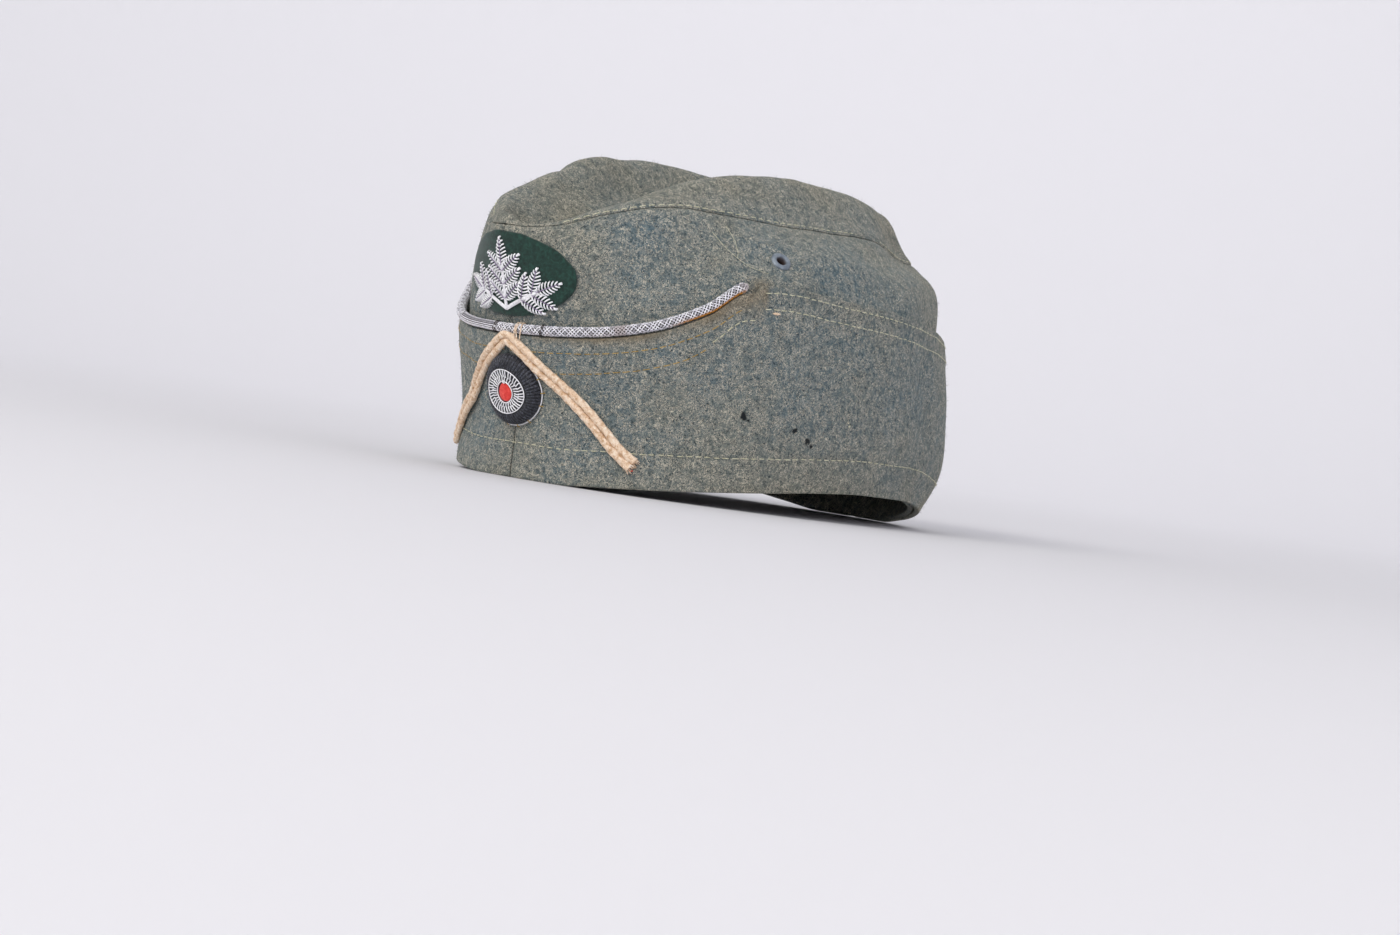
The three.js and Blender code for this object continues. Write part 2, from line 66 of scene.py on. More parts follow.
# Level sections, rim first: the half width, the reach in front and behind, the middle, and how squarely
# the plan closes in front and behind
CURTAIN_SECTIONS = [
    ("rim", 0.0, 82.2, -102.8, 99.9, -0.4, 0.88, 0.95),
    ("low", 0.0, 84.3, -103.6, 109.2, -1.1, 0.95, 0.94),
    ("half", 0.0, 85.9, -105.8, 107.4, -1.9, 0.95, 0.98),
    ("high", 0.0, 85.9, -112.3, 102.8, -2.8, 0.97, 1.0),
    ("edge", 0.0, 84.8, -115.8, 98.9, -3.5, 1.0, 1.0),
]
CROWN_SECTIONS = [
    ("rim", 0.5, 79.1, -99.7, 96.8, -0.4, 0.88, 0.95),
    ("low", 0.0, 81.0, -100.3, 105.9, -1.1, 0.95, 0.94),
    ("half", 0.0, 82.6, -102.3, 104.0, -1.9, 0.95, 0.98),
    ("high", 0.0, 82.4, -107.6, 99.2, -2.8, 0.97, 1.0),
    ("edge", 0.0, 81.2, -111.4, 95.2, -3.5, 1.0, 1.0),
    ("body", 0.0, 73.1, -118.2, 99.0, -8.4, 1.08, 1.0),
    ("seam", 0.0, 54.1, -123.9, 96.8, -13.2, 1.22, 0.97),
    ("ridge", 0.0, 36.0, -120.8, 84.6, -18.2, 1.1, 1.0),
    ("slope", 0.0, 19.1, -116.4, 72.1, -17.6, 1.1, 1.1),
    ("fold", 0.0, 3.2, -109.9, 59.6, -17.2, 1.1, 1.2),
]

# Height of each level by direction: turn 0 is the front, 90 a side and 180 the back
TURNS = np.array([0, 12, 25, 38, 50, 58, 68, 80, 95, 112, 135, 158, 169, 180], float)
HEIGHTS = {
    "rim": [0, 0, 1.4, 3.0, 4.9, 6.3, 8.1, 10.3, 11.7, 11.5, 7.4, 2.0, 0, 0],
    "low": [17.7, 17.9, 18.5, 19.4, 20.7, 22.2, 24.5, 27.1, 28.7, 27.6, 24.4, 20.1, 18.7, 17.3],
    "half": [32.4, 32.7, 33.6, 35.0, 36.8, 38.9, 42.2, 45.8, 47.8, 47.2, 44.5, 39.1, 37.0, 35.3],
    "high": [47.0, 47.5, 49.0, 52.9, 60.5, 63.9, 64.8, 65.8, 66.9, 66.2, 63.5, 58.0, 56.0, 54.2],
    "edge": [55.5, 56.1, 58.2, 63.2, 73.0, 83.6, 85.7, 84.5, 83.3, 81.2, 77.2, 73.1, 71.9, 71.0],
    "body": [73.3, 74.2, 76.8, 80.2, 83.7, 88.4, 92.4, 96.1, 98.5, 97.9, 95.1, 88.6, 86.0, 83.8],
    "seam": [94.2, 94.3, 96.7, 103.2, 108.7, 110.2, 110.1, 110.3, 111.2, 112.5, 107.5, 99.9, 97.3, 95.3],
    "ridge": [98.1, 94.6, 96.9, 103.9, 110.8, 116.5, 122.7, 127.5, 129.9, 130.0, 126.1, 117.4, 112.7,
              107.5],
    "right_ridge": [98.1, 99.3, 102.3, 107.1, 113.9, 119.7, 126.6, 130.9, 132.0, 130.9, 126.1, 117.4,
                    112.7, 107.5],
    "slope": [93.5, 91.7, 94.2, 99.4, 104.8, 107.8, 110.5, 113.4, 115.1, 115.3, 114.2, 107.2, 104.5,
              101.7],
    "fold": [89.5, 90.1, 91.5, 93.9, 97.4, 99.6, 101.7, 104.0, 105.5, 106.2, 106.5, 101.4, 99.2, 96.9],
}


def colour(text):
    """A linear colour from an sRGB hex value such as 5e6b66."""
    parts = [int(text[i:i + 2], 16) / 255 for i in (0, 2, 4)]
    return tuple(p / 12.92 if p <= 0.04045 else ((p + 0.055) / 1.055) ** 2.4 for p in parts) + (1.0,)


def deselect_all():
    if bpy.context.object and bpy.context.object.mode != "OBJECT":
        bpy.ops.object.mode_set(mode="OBJECT")
    bpy.ops.object.select_all(action="DESELECT")


def select_only(piece):
    deselect_all()
    piece.select_set(True)
    bpy.context.view_layer.objects.active = piece


# NODES

SHARE, FIRST, SECOND, MIXED = 0, 6, 7, 2     # a Mix node's colour sockets


def add_node(tree, kind, inputs, output=0, stops=(), **options):
    """Adds one node with its options, gives each input a value or a link, and returns one output."""
    made = tree.nodes.new("ShaderNode" + kind)
    for option, value in options.items():
        setattr(made, option, value)
    for socket, source in inputs.items():
        if isinstance(source, bpy.types.NodeSocket):
            tree.links.new(source, made.inputs[socket])
        else:
            made.inputs[socket].default_value = source
    for _ in stops[2:]:
        made.color_ramp.elements.new(0.5)
    for number, (position, text) in enumerate(stops):
        made.color_ramp.elements[number].position = position
        made.color_ramp.elements[number].color = colour(text)
    return made.outputs[output] if made.outputs else None


def new_material(name):
    material = bpy.data.materials.new(name)
    material.use_nodes = True
    material.node_tree.nodes.clear()
    return material


def finish_material(material, ground, finish, layers=(), bump=None):
    """Lays each layer's tint over the ground, by the share from a socket or a stored mark, and gives all to
    the shader. bump is a height, its strength and its depth in mm."""
    tree = material.node_tree
    for share, tint in layers:
        if isinstance(share, str):
            share = add_node(tree, "Attribute", {}, "Fac", attribute_name=share)
        ground = add_node(tree, "Mix", {SHARE: share, FIRST: ground, SECOND: colour(tint)}, MIXED,
                          data_type="RGBA")
    inputs = {"Base Color": ground, **finish}
    if bump:
        height, strength, depth = bump
        inputs["Normal"] = add_node(tree, "Bump", {"Height": height, "Strength": strength,
                                                   "Distance": depth * MM})
    add_node(tree, "OutputMaterial", {"Surface": add_node(tree, "BsdfPrincipled", inputs)})
    return material


# CAMERA, LIGHTS AND FLOOR

AIM = Vector((0.0020, 0.0078, 0.0127))
DISTANCE = 1.325
AZIMUTH = math.radians(43.2)
ELEVATION = math.radians(1.0)
ROLL = math.radians(8.3)
LENS = 84.9
FLOOR_RADIUS = 1.6
SWEEP_RADIUS = 1.2
SWEEP_STEPS = 12
WALL_HEIGHT = 0.6


def make_camera():
    bpy.ops.object.camera_add()
    camera = bpy.context.object
    camera.name = "studio_camera"
    level = math.cos(ELEVATION)
    back = Vector((math.sin(AZIMUTH) * level, -math.cos(AZIMUTH) * level, math.sin(ELEVATION)))
    right = Vector((0, 0, 1)).cross(back).normalized()
    up = back.cross(right)
    leaning_right = right * math.cos(ROLL) + up * math.sin(ROLL)
    leaning_up = up * math.cos(ROLL) - right * math.sin(ROLL)
    facing = Matrix((leaning_right, leaning_up, back)).transposed()
    camera.matrix_world = Matrix.Translation(AIM + back * DISTANCE) @ facing.to_4x4()
    camera.data.lens = LENS
    camera.data.sensor_width = 36.0
    camera.data.clip_start = 0.01
    camera.data.clip_end = 20.0
    bpy.context.scene.camera = camera


def add_soft_light(name, place, size, power, tint, aim=(0, 0, 0.06)):
    bpy.ops.object.light_add(type="AREA", location=place)
    light = bpy.context.object
    light.name = name
    light.rotation_euler = (Vector(aim) - Vector(place)).to_track_quat("-Z", "Y").to_euler()
    light.data.shape = "DISK"
    light.data.size = size
    light.data.energy = power
    light.data.color = colour(tint)[:3]


def paper_floor():
    """Matt seamless background paper: even and nearly white, with no shine."""
    return finish_material(new_material("seamless_paper"), colour("e2e1e5"),
                           {"Roughness": 0.9, "Specular IOR Level": 0.2})


def make_floor():
    """A round sweep of paper: a flat floor that curves up all round, so that no view shows a horizon."""
    bpy.ops.mesh.primitive_circle_add(vertices=96, radius=FLOOR_RADIUS, fill_type="NGON")
    floor = bpy.context.object
    floor.name = "paper_sweep"
    bpy.ops.object.mode_set(mode="EDIT")
    bpy.ops.mesh.select_all(action="SELECT")
    bpy.ops.mesh.inset(thickness=0.02)
    bpy.ops.mesh.select_all(action="SELECT")
    bpy.ops.mesh.region_to_loop()
    radius, height = FLOOR_RADIUS, 0.0
    for angle in np.linspace(0, math.pi / 2, SWEEP_STEPS + 1)[1:]:
        wider = FLOOR_RADIUS + SWEEP_RADIUS * math.sin(angle)
        higher = SWEEP_RADIUS * (1 - math.cos(angle))
        bpy.ops.mesh.extrude_edges_move(TRANSFORM_OT_translate={"value": (0, 0, higher - height)})
        bpy.ops.transform.resize(value=(wider / radius, wider / radius, 1))
        radius, height = wider, higher
    bpy.ops.mesh.extrude_edges_move(TRANSFORM_OT_translate={"value": (0, 0, WALL_HEIGHT)})
    bpy.ops.object.mode_set(mode="OBJECT")
    bpy.ops.object.shade_smooth()
    floor.data.materials.append(paper_floor())


deselect_all()
make_camera()
add_soft_light("key_softbox", (0.2, -2.5, 1.6), 1.8, 43.0, "fffdf6")
add_soft_light("fill_softbox", (2.4, -0.6, 0.9), 1.6, 13.0, "f8f9ff")
add_soft_light("back_softbox", (-0.9, 1.5, 2.4), 2.0, 6.0, "ffffff")
add_soft_light("wall_softbox", (-0.9, 1.0, 1.9), 1.2, 9.0, "ffffff", (-2.2, 2.4, 0.5))
world = bpy.data.worlds.new("studio_air")
world.use_nodes = True
world.node_tree.nodes["Background"].inputs["Color"].default_value = colour("eeeef2")
world.node_tree.nodes["Background"].inputs["Strength"].default_value = 0.66
bpy.context.scene.world = world
bpy.context.scene.view_settings.view_transform = "Standard"
deselect_all()
make_floor()


# THE CAP'S SURFACES

def unit(vectors):
    return vectors / np.linalg.norm(vectors, axis=-1, keepdims=True)


def length_along(points):
    """How far along a path each of its points is."""
    return np.concatenate([[0], np.cumsum(np.linalg.norm(np.diff(points, axis=0), axis=1))])


def wander(places, wave, *seed):
    """A smooth random swing at each place along a line, about a wave long."""
    return np.array([noise.noise(Vector((place / wave, *seed))) for place in places])


def column_height(level, size):
    """A smooth curve through one row of HEIGHTS that never swings past its values."""
    values = np.array(HEIGHTS[level], float)
    rates = np.diff(values) / np.diff(TURNS)
    slopes = np.zeros_like(values)
    product = rates[:-1] * rates[1:]
    total = np.where(product > 0, rates[:-1] + rates[1:], 1.0)
    slopes[1:-1] = np.where(product > 0, 2 * product / total, 0.0)
    row = np.clip(np.searchsorted(TURNS, size, side="left") - 1, 0, len(TURNS) - 2)
    span = TURNS[row + 1] - TURNS[row]
    t = (size - TURNS[row]) / span
    ease = t * t * (3 - 2 * t)
    bend = slopes[row] * t * (1 - t) ** 2 - slopes[row + 1] * t * t * (1 - t)
    return values[row] + (values[row + 1] - values[row]) * ease + span * bend


def section_point(section, turn):
    level, lift, side, front, back, middle, bow, stern = section
    size = np.abs(turn)
    height = column_height(level, size)
    if level == "ridge":
        height = np.where(turn < 0, column_height("right_ridge", size), height)
    ahead = np.cos(np.radians(turn))
    aside = np.sin(np.radians(turn))
    power = stern + (bow - stern) * (1 + ahead) / 2
    reach = np.where(ahead > 0, front - middle, middle - back)
    width = side * np.sign(aside) * np.abs(aside) ** power
    return np.stack([width, middle + reach * ahead, height + lift], axis=-1)


def between(before, start, end, after, share):
    """A point on the smooth curve from start to end, with the neighbours' pull by their distances."""
    def pull(a, b):
        return np.maximum(np.linalg.norm(b - a, axis=-1, keepdims=True), 1e-9) ** 0.5
    first, second, third = pull(before, start), pull(start, end), pull(end, after)
    leave = (start - before) / first - (end - before) / (first + second) + (end - start) / second
    arrive = (end - start) / second - (after - start) / (second + third) + (after - end) / third
    leave, arrive = leave * second, arrive * second
    t = share[..., None]
    return (start + leave * t + (3 * (end - start) - 2 * leave - arrive) * t ** 2
            + (2 * (start - end) + leave + arrive) * t ** 3)


class Cloth:
    """The smooth surface through level sections. rise counts the sections up from the first one."""

    def __init__(self, sections):
        self.sections = sections
        self.top = len(sections) - 1

    def at(self, turn, rise):
        turn, rise = np.broadcast_arrays(np.asarray(turn, float), np.asarray(rise, float))
        turn = (turn + 180) % 360 - 180
        rise = np.clip(rise, 0, self.top)
        ribs = np.stack([section_point(s, turn) for s in self.sections])
        below = 2 * ribs[:1] - ribs[1:2]
        above = 2 * ribs[-1:] - ribs[-2:-1]
        ribs = np.concatenate([below, ribs, above])
        first = np.minimum(rise.astype(int), self.top - 1)

        def pick(offset):
            where = np.broadcast_to((first + offset)[None, ..., None], (1,) + turn.shape + (3,))
            return np.take_along_axis(ribs, where, axis=0)[0]

        return between(pick(0), pick(1), pick(2), pick(3), rise - first)

    def outward(self, turn, rise):
        turn, rise = np.broadcast_arrays(np.asarray(turn, float), np.asarray(rise, float))
        across = self.at(turn + 1, rise) - self.at(turn - 1, rise)
        upward = self.at(turn, rise + 0.02) - self.at(turn, rise - 0.02)
        return unit(np.cross(across, upward))

    def rise_above(self, turn, rise, distance):
        step = 0.01
        ends = self.at(turn, rise + step) - self.at(turn, rise - step)
        return rise + distance * 2 * step / np.linalg.norm(ends, axis=-1)

    def off(self, turn, rise, height):
        """A point that stands off the cloth by a height."""
        height = np.asarray(height, float)
        return self.at(turn, rise) + self.outward(turn, rise) * height[..., None]


crown = Cloth(CROWN_SECTIONS)
curtain = Cloth(CURTAIN_SECTIONS)


def close_in(low, high, too_low):
    """The places between low and high where too_low stops being true, found by halving."""
    for _ in range(16):
        middle = (low + high) / 2
        short = too_low(middle)
        low, high = np.where(short, middle, low), np.where(short, high, middle)
    return (low + high) / 2


def seen_from_front(cloth, across, up, low, high):
    """The turn and rise of the points that are seen from the front at places across and up."""
    across, up = np.asarray(across, float), np.asarray(up, float)
    every = np.ones_like(across)

    def turn_at(rise):
        return close_in(-90 * every, 90 * every, lambda turn: cloth.at(turn, rise)[..., 0] < across)

    rise = close_in(low * every, high * every, lambda rise: cloth.at(turn_at(rise), rise)[..., 2] < up)
    return turn_at(rise), rise


class Spot:
    """A square of cloth round a place seen from the front, on which flat points are laid: their x and y
    run across and up, and their z stands off the cloth."""

    def __init__(self, cloth, across, up, reach, low, high):
        self.cloth = cloth
        self.marks = np.linspace(-reach, reach, 25)
        along, upward = np.meshgrid(self.marks, self.marks, indexing="ij")
        turn, rise = seen_from_front(cloth, across + along.ravel(), up + upward.ravel(), low, high)
        self.turn, self.rise = turn.reshape(along.shape), rise.reshape(along.shape)

    def lay(self, points):
        points = np.asarray(points, float)
        cells = (points[:, :2] - self.marks[0]) / (self.marks[1] - self.marks[0])
        first = np.clip(cells.astype(int), 0, len(self.marks) - 2)
        i, j = first.T
        u, v = (cells - first).T

        def mixed(grid):
            near = grid[i, j] * (1 - u) + grid[i + 1, j] * u
            far = grid[i, j + 1] * (1 - u) + grid[i + 1, j + 1] * u
            return near * (1 - v) + far * v

        return self.cloth.off(mixed(self.turn), mixed(self.rise), points[:, 2])


COCKADE_SPOT = Spot(curtain, 0.9, 33.4, 16.0, 0, EDGE)
BADGE_SPOT = Spot(crown, 0.0, 76.0, 30.0, EDGE, SEAM)


# MAKING PIECES

def metres(points):
    return (np.asarray(points, float) + np.array(LENGTH_SHIFT)) * MM


def grid_faces(start, rows, width, closed=True):
    """Four-cornered faces between rows of points, each row as long as the width."""
    return [(a + i, a + (i + 1) % width, a + width + (i + 1) % width, a + width + i)
            for a in range(start, start + rows * width, width)
            for i in range(width if closed else width - 1)]


def new_object(name, data):
    """A new object, alone selected and active."""
    piece = bpy.data.objects.new(name, data)
    bpy.context.collection.objects.link(piece)
    select_only(piece)
    return piece


def mesh_piece(name, points, faces, material):
    """A new mesh object from points in millimetres."""
    mesh = bpy.data.meshes.new(name)
    mesh.from_pydata(metres(points).tolist(), [], [tuple(map(int, face)) for face in faces])
    mesh.materials.append(material)
    piece = new_object(name, mesh)
    bpy.ops.object.shade_smooth()
    return piece


def belongs(piece, slot, *nodes):
    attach(piece, "root")
    if nodes:
        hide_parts(*nodes)


def thread_piece(name, paths, radius, material, sides=1, taper=1.0):
    """Round threads along paths of points in millimetres, made as one bevelled curve, then a mesh."""
    data = bpy.data.curves.new(name, "CURVE")
    data.dimensions = "3D"
    data.bevel_depth = radius * MM
    data.bevel_resolution = sides
    data.use_fill_caps = True
    for path in paths:
        spline = data.splines.new("POLY")
        spline.points.add(len(path) - 1)
        widths = np.ones(len(path))
        spline.points.foreach_set("co", np.column_stack([metres(path), widths]).ravel())
        widths[0] = widths[-1] = taper
        spline.points.foreach_set("radius", widths)
    new_object(name, data)
    bpy.ops.object.convert(target="MESH")
    piece = bpy.context.object
    piece.data.materials.clear()
    piece.data.materials.append(material)
    bpy.ops.object.shade_smooth()
    return piece


def store(piece, name, values):
    """Keeps one number for each vertex under a name that a material can read."""
    attribute = piece.data.attributes.new(name, "FLOAT", "POINT")
    attribute.data.foreach_set("value", np.asarray(values, np.float32).ravel())


def apply_modifier(piece, kind, **settings):
    modifier = piece.modifiers.new(kind.lower(), kind)
    for key, value in settings.items():
        setattr(modifier, key, value)
    bpy.context.view_layer.objects.active = piece
    bpy.ops.object.modifier_apply(modifier=modifier.name)


# MATERIALS

# Moth nips in the left of the curtain, each dented and painted near-black as the shade in its hole: turn,
# rise and radius in mm, and how ragged their edges are
NIPS = [(57.9, 1.81, 1.7), (59.0, 1.72, 1.1), (70.6, 1.44, 1.3), (74.3, 1.19, 1.6), (75.4, 1.11, 1.1)]
RAGGED = 2.6


def lumps_of(size_mm):
    """The Scale at which a noise has lumps about this wide."""
    return 0.6 / (size_mm * MM)


def grained(name, grain_mm, stops, **settings):
    """Starts a material with a noise in Object coordinates and a ramp of colours over it."""
    material = new_material(name)
    tree = material.node_tree
    place = add_node(tree, "TexCoord", {}, "Object")
    grain = add_node(tree, "TexNoise", {"Vector": place, "Scale": lumps_of(grain_mm), **settings})
    return material, place, grain, add_node(tree, "ValToRGB", {"Fac": grain}, stops=stops)


def field_grey_wool():
    """Milled wool cloth of mixed dyed fibres: a matt felt, teal grey and green grey, flecked with pale and
    dark hairs, that goes olive with handling near its edges. Real fibres are 0.03 mm thick, and are drawn
    about 0.3 mm thick, the finest that shows."""
    material, place, _, ground = grained(
        "field_grey_milled_wool", 34, [(0.32, "566c75"), (0.5, "647377"), (0.68, "727974")],
        Detail=3.0, Roughness=0.6)
    tree = material.node_tree
    rubbed = add_node(tree, "TexNoise", {"Vector": place, "Scale": lumps_of(9), "Detail": 3.0})
    rubbed = add_node(tree, "MapRange", {"Value": rubbed, "From Min": 0.3, "From Max": 0.7, "To Min": 0.4,
                                         "To Max": 0.9})
    handled = add_node(tree, "Attribute", {}, "Fac", attribute_name="handled")
    olive = add_node(tree, "Math", {0: handled, 1: rubbed}, operation="MULTIPLY")
    layers = [(olive, "7f7a67")]
    clots = add_node(tree, "TexNoise", {"Vector": place, "Scale": lumps_of(0.47), "Detail": 3.0,
                                        "Roughness": 0.75, "Distortion": 0.8})
    for start, full, share, tone in ((0.55, 0.65, 0.95, "aca89c"), (0.47, 0.36, 1.0, "1d2a31")):
        clot = add_node(tree, "MapRange", {"Value": clots, "From Min": start, "From Max": full,
                                           "To Max": share})
        layers.append((clot, tone))
    height = clots
    # Hairs are drawn along a noise's middle level, in patches
    for curl, width, bend, patch, full, share, tone, lift in (
            (1.2, 0.042, 2.6, 1.6, 0.5, 1.0, "e2d8c2", 0.4),
            (1.1, 0.035, 2.8, 1.8, 0.52, 0.9, "1b252c", -0.2)):
        curls = add_node(tree, "TexNoise", {"Vector": place, "Scale": lumps_of(curl), "Detail": 2.0,
                                            "Roughness": 0.55, "Distortion": bend})
        off_middle = add_node(tree, "Math", {0: curls, 1: 0.5}, operation="SUBTRACT")
        off_middle = add_node(tree, "Math", {0: off_middle}, operation="ABSOLUTE")
        hair = add_node(tree, "MapRange", {"Value": off_middle, "From Max": width, "To Min": share,
                                           "To Max": 0.0})
        patches = add_node(tree, "TexNoise", {"Vector": place, "Scale": lumps_of(patch), "Detail": 2.0})
        patches = add_node(tree, "MapRange", {"Value": patches, "From Min": 0.38, "From Max": full})
        hair = add_node(tree, "Math", {0: hair, 1: patches}, operation="MULTIPLY")
        layers.append((hair, tone))
        height = add_node(tree, "Math", {0: hair, 1: lift, 2: height}, operation="MULTIPLY_ADD")
    stained = add_node(tree, "Attribute", {}, "Fac", attribute_name="stained")
    soaked = add_node(tree, "MapRange", {"Value": clots, "From Min": 0.25, "From Max": 0.6, "To Min": 0.35})
    layers.append((add_node(tree, "Math", {0: stained, 1: soaked}, operation="MULTIPLY"), "84683a"))
    ragged = add_node(tree, "TexNoise", {"Vector": place, "Scale": lumps_of(1.2), "Detail": 3.0}, "Color")
    ragged = add_node(tree, "VectorMath", {0: ragged, 1: (RAGGED * MM,) * 3, 2: place},
                      operation="MULTIPLY_ADD")
    for turn, rise, radius in NIPS:
        centre = tuple(metres(curtain.at(turn, rise)) + RAGGED / 2 * MM)
        gap = add_node(tree, "VectorMath", {0: ragged, 1: centre}, "Value", operation="DISTANCE")
        nip_hole_shade = add_node(tree, "MapRange", {"Value": gap, "From Min": 0.55 * radius * MM,
                                          "From Max": 0.95 * radius * MM, "To Min": 1.0, "To Max": 0.0})
        # Painted shade: each moth hole is drawn near-black where its inside would be in shade, and dented
        # by the bump
        layers.append((nip_hole_shade, "171c20"))
        height = add_node(tree, "Math", {0: nip_hole_shade, 1: -2.0, 2: height}, operation="MULTIPLY_ADD")
    finish = {"Roughness": 0.95, "Specular IOR Level": 0.25, "Sheen Weight": 0.18, "Sheen Roughness": 0.5,
              "Sheen Tint": colour("c9cfc4")}
    return finish_material(material, ground, finish, layers, (height, 0.6, 0.35))


def silver_wire(name, dark, middle, light):
    """Fine wound silver wire, dulled by age: bright violet-white painted glints in its grain, and orange
    tarnish where it rubs.
    Real wire is wound far finer than the 0.5 mm grain drawn here."""
    material, place, _, ground = grained(name, 0.5, [(0.32, dark), (0.5, middle), (0.66, light)],
                                         Detail=3.0, Roughness=0.7)
    tree = material.node_tree
    aged = add_node(tree, "TexNoise", {"Vector": place, "Scale": lumps_of(6.0), "Detail": 2.0})
    aged = add_node(tree, "MapRange", {"Value": aged, "From Min": 0.58, "From Max": 0.78, "To Max": 0.45})
    layers = [(aged, "a89c94"), ("dulled", "4c4a56"), ("tarnished", "d18c28"), ("worn", "b9aeae")]
    return finish_material(material, ground, {"Metallic": 0.2, "Roughness": 0.3}, layers)


def spun_yarn(name, dark, middle, light, grain_mm=0.8, rough=0.92):
    """Spun yarn: matt, with soft lighter fibres along it, and its dark tone laid on by a stored mark:
    painted shade in the grooves between plies and cords, and a darker tone on some fibres. Its fibres are
    drawn many times thicker than real ones, so that they show."""
    material, _, grain, ground = grained(name, grain_mm, [(0.3, dark), (0.5, middle), (0.68, light)],
                                         Detail=3.0, Roughness=0.65, Distortion=0.8)
    finish = {"Roughness": rough, "Specular IOR Level": 0.3, "Sheen Weight": 0.15}
    # The stored mark lays the dark tone as painted shade in grooves, and as a random darker tone on loose
    # fibres
    return finish_material(material, ground, finish, [("painted_shade_and_tone", dark)], (grain, 0.4, 0.2))


def painted_steel():
    """Stamped steel under worn blue-grey paint: a soft satin gloss, and rusty brown down in the hole."""
    material, _, grain, ground = grained(
        "painted_steel", 1.4, [(0.3, "5a636e"), (0.55, "7d8792"), (0.75, "a0a8b0")],
        Detail=4.0, Roughness=0.7)
    finish = {"Metallic": 0.15, "Roughness": 0.42}
    return finish_material(material, ground, finish, [("inside", "70462a")], (grain, 0.25, 0.15))


def fine_felt(name, dark, middle, light):
    """Fine dense wool felt, cut without fraying: even, matt and slightly furry."""
    material, _, grain, ground = grained(name, 0.8, [(0.3, dark), (0.5, middle), (0.72, light)],
                                         Detail=4.0, Roughness=0.7, Distortion=0.5)
    return finish_material(material, ground, {"Roughness": 0.92, "Sheen Weight": 0.2},
                           bump=(grain, 0.5, 0.25))


WOOL = field_grey_wool()
SILVER = silver_wire("wound_silver_wire", "b4b2be", "efeef5", "ffffff")
BRIGHT_SILVER = silver_wire("bright_silver_wire", "d8d8e0", "fbfbfe", "ffffff")
CREAM_COTTON = spun_yarn("cream_cotton_yarn", "b98f66", "e8cdb1", "f8ead8")
BLACK_SILK = spun_yarn("black_silk_cord", "101116", "292b33", "5a5d69", 0.5, 0.5)
STEEL = painted_steel()
BADGE_FELT = fine_felt("dark_green_badge_felt", "0b1f1a", "14332b", "21493e")
RED_FELT = fine_felt("red_wool_felt", "c8281f", "e23b34", "f06257")
LINEN_THREAD = spun_yarn("waxed_linen_thread", "9f9d80", "cac7ab", "e2dfc8")
TAN_THREAD = spun_yarn("tan_cotton_thread", "856c38", "b0924f", "cdb070")
# Real dark thread for the wraps, and painted shade on the piping's core between its wires
DARK_THREAD_AND_GAP_SHADE = spun_yarn("dark_cotton_thread_and_gap_shade", "1e1c1e", "332c2a", "4a4038")
WOOL_FIBRE = spun_yarn("stray_wool_fibre", "3e4a50", "848577", "aeaa98", 3.0)
VIOLET_SILK = spun_yarn("violet_silk_thread", "5f4f6e", "8d7d9c", "ab9cba")


# WOOL CLOTH

HEM_ROW = 6.7        # height of the hem's stitches above the rim, mm
SEAM_GAP = 0.15      # half the gap between the crown's panels, mm
RIM_HOLD = 0.35      # rise up to which the rim stays flat on the floor

# Soft dents and folds: which cloth, the way along it in (turn, rise), depth outward in mm, and half width
CREASES = [
    (crown, [(100, 5.2), (118, 5.6), (135, 6.3)], -2.0, 9.0),
    (crown, [(128, 4.2), (136, 5.0), (141, 6.0), (143, 7.2)], 1.6, 6.0),
    (crown, [(150, 4.2), (152, 5.2), (150, 6.6)], -1.8, 8.0),
    (crown, [(76, 4.3), (88, 4.5), (100, 4.4)], -1.8, 7.0),
    (crown, [(-15, 4.4), (-22, 5.0), (-26, 5.8)], -1.6, 7.0),
    (crown, [(28, 4.6), (40, 5.1), (52, 5.3)], -1.0, 9.0),
    (crown, [(-60, 6.4), (-62, 7.0), (-58, 7.6)], -1.6, 5.0),
    (crown, [(-84, 6.6), (-80, 7.2), (-76, 7.7)], -1.2, 6.0),
    (crown, [(-40, 6.5), (-44, 7.1), (-46, 7.6)], 1.0, 5.0),
    (crown, [(-105, 5.0), (-124, 5.8), (-140, 6.6)], -1.8, 8.0),
    (curtain, [(112, 0.6), (116, 1.8), (112, 3.0)], -1.5, 10.0),
    (curtain, [(134, 0.8), (131, 2.0), (135, 3.4)], 1.1, 9.0),
    (curtain, [(24, 1.4), (27, 2.2), (31, 3.1)], -0.9, 9.0),
    (curtain, [(-20, 1.0), (-24, 2.0), (-23, 3.2)], -1.0, 8.0),
    (curtain, [(-115, 0.8), (-118, 1.8), (-114, 3.1)], -1.4, 10.0),
]


def distance_to_route(points, route):
    """How far each point is from a route of short straight lengths."""
    nearest = np.full(len(points), 1e9)
    for start, end in zip(route[:-1], route[1:]):
        along = end - start
        share = np.clip((points - start) @ along / max(along @ along, 1e-9), 0, 1)
        gap = np.linalg.norm(points - start - share[:, None] * along, axis=1)
        nearest = np.minimum(nearest, gap)
    return nearest


def even_steps(places, count):
    """Points at even shares between the given places, joined by straight lines."""
    spots = np.linspace(0, len(places) - 1, count)
    return np.column_stack([np.interp(spots, range(len(places)), row) for row in zip(*places)])


def lumps(points, size, seed):
    """A random swell at each point, with lumps of about this size in mm."""
    shift = Vector((seed * 17.3, seed * 5.1, seed * 9.7))
    return np.array([noise.fractal(Vector(p) / size + shift, 1.0, 2.0, 3) for p in points])


def relief(cloth, points):
    """How far the cloth stands out from its smooth surface, in mm."""
    out = 0.55 * lumps(points, 34.0, 1) + 0.16 * lumps(points, 9.0, 2)
    for on, places, depth, width in CREASES:
        if on is cloth:
            way = even_steps(places, 14)
            gap = distance_to_route(points, cloth.at(way[:, 0], way[:, 1]))
            out = out + depth * np.exp(-(gap / width) ** 2)
    return out


def groove(gap, depth, width):
    return -depth * np.exp(-(gap / width) ** 2)


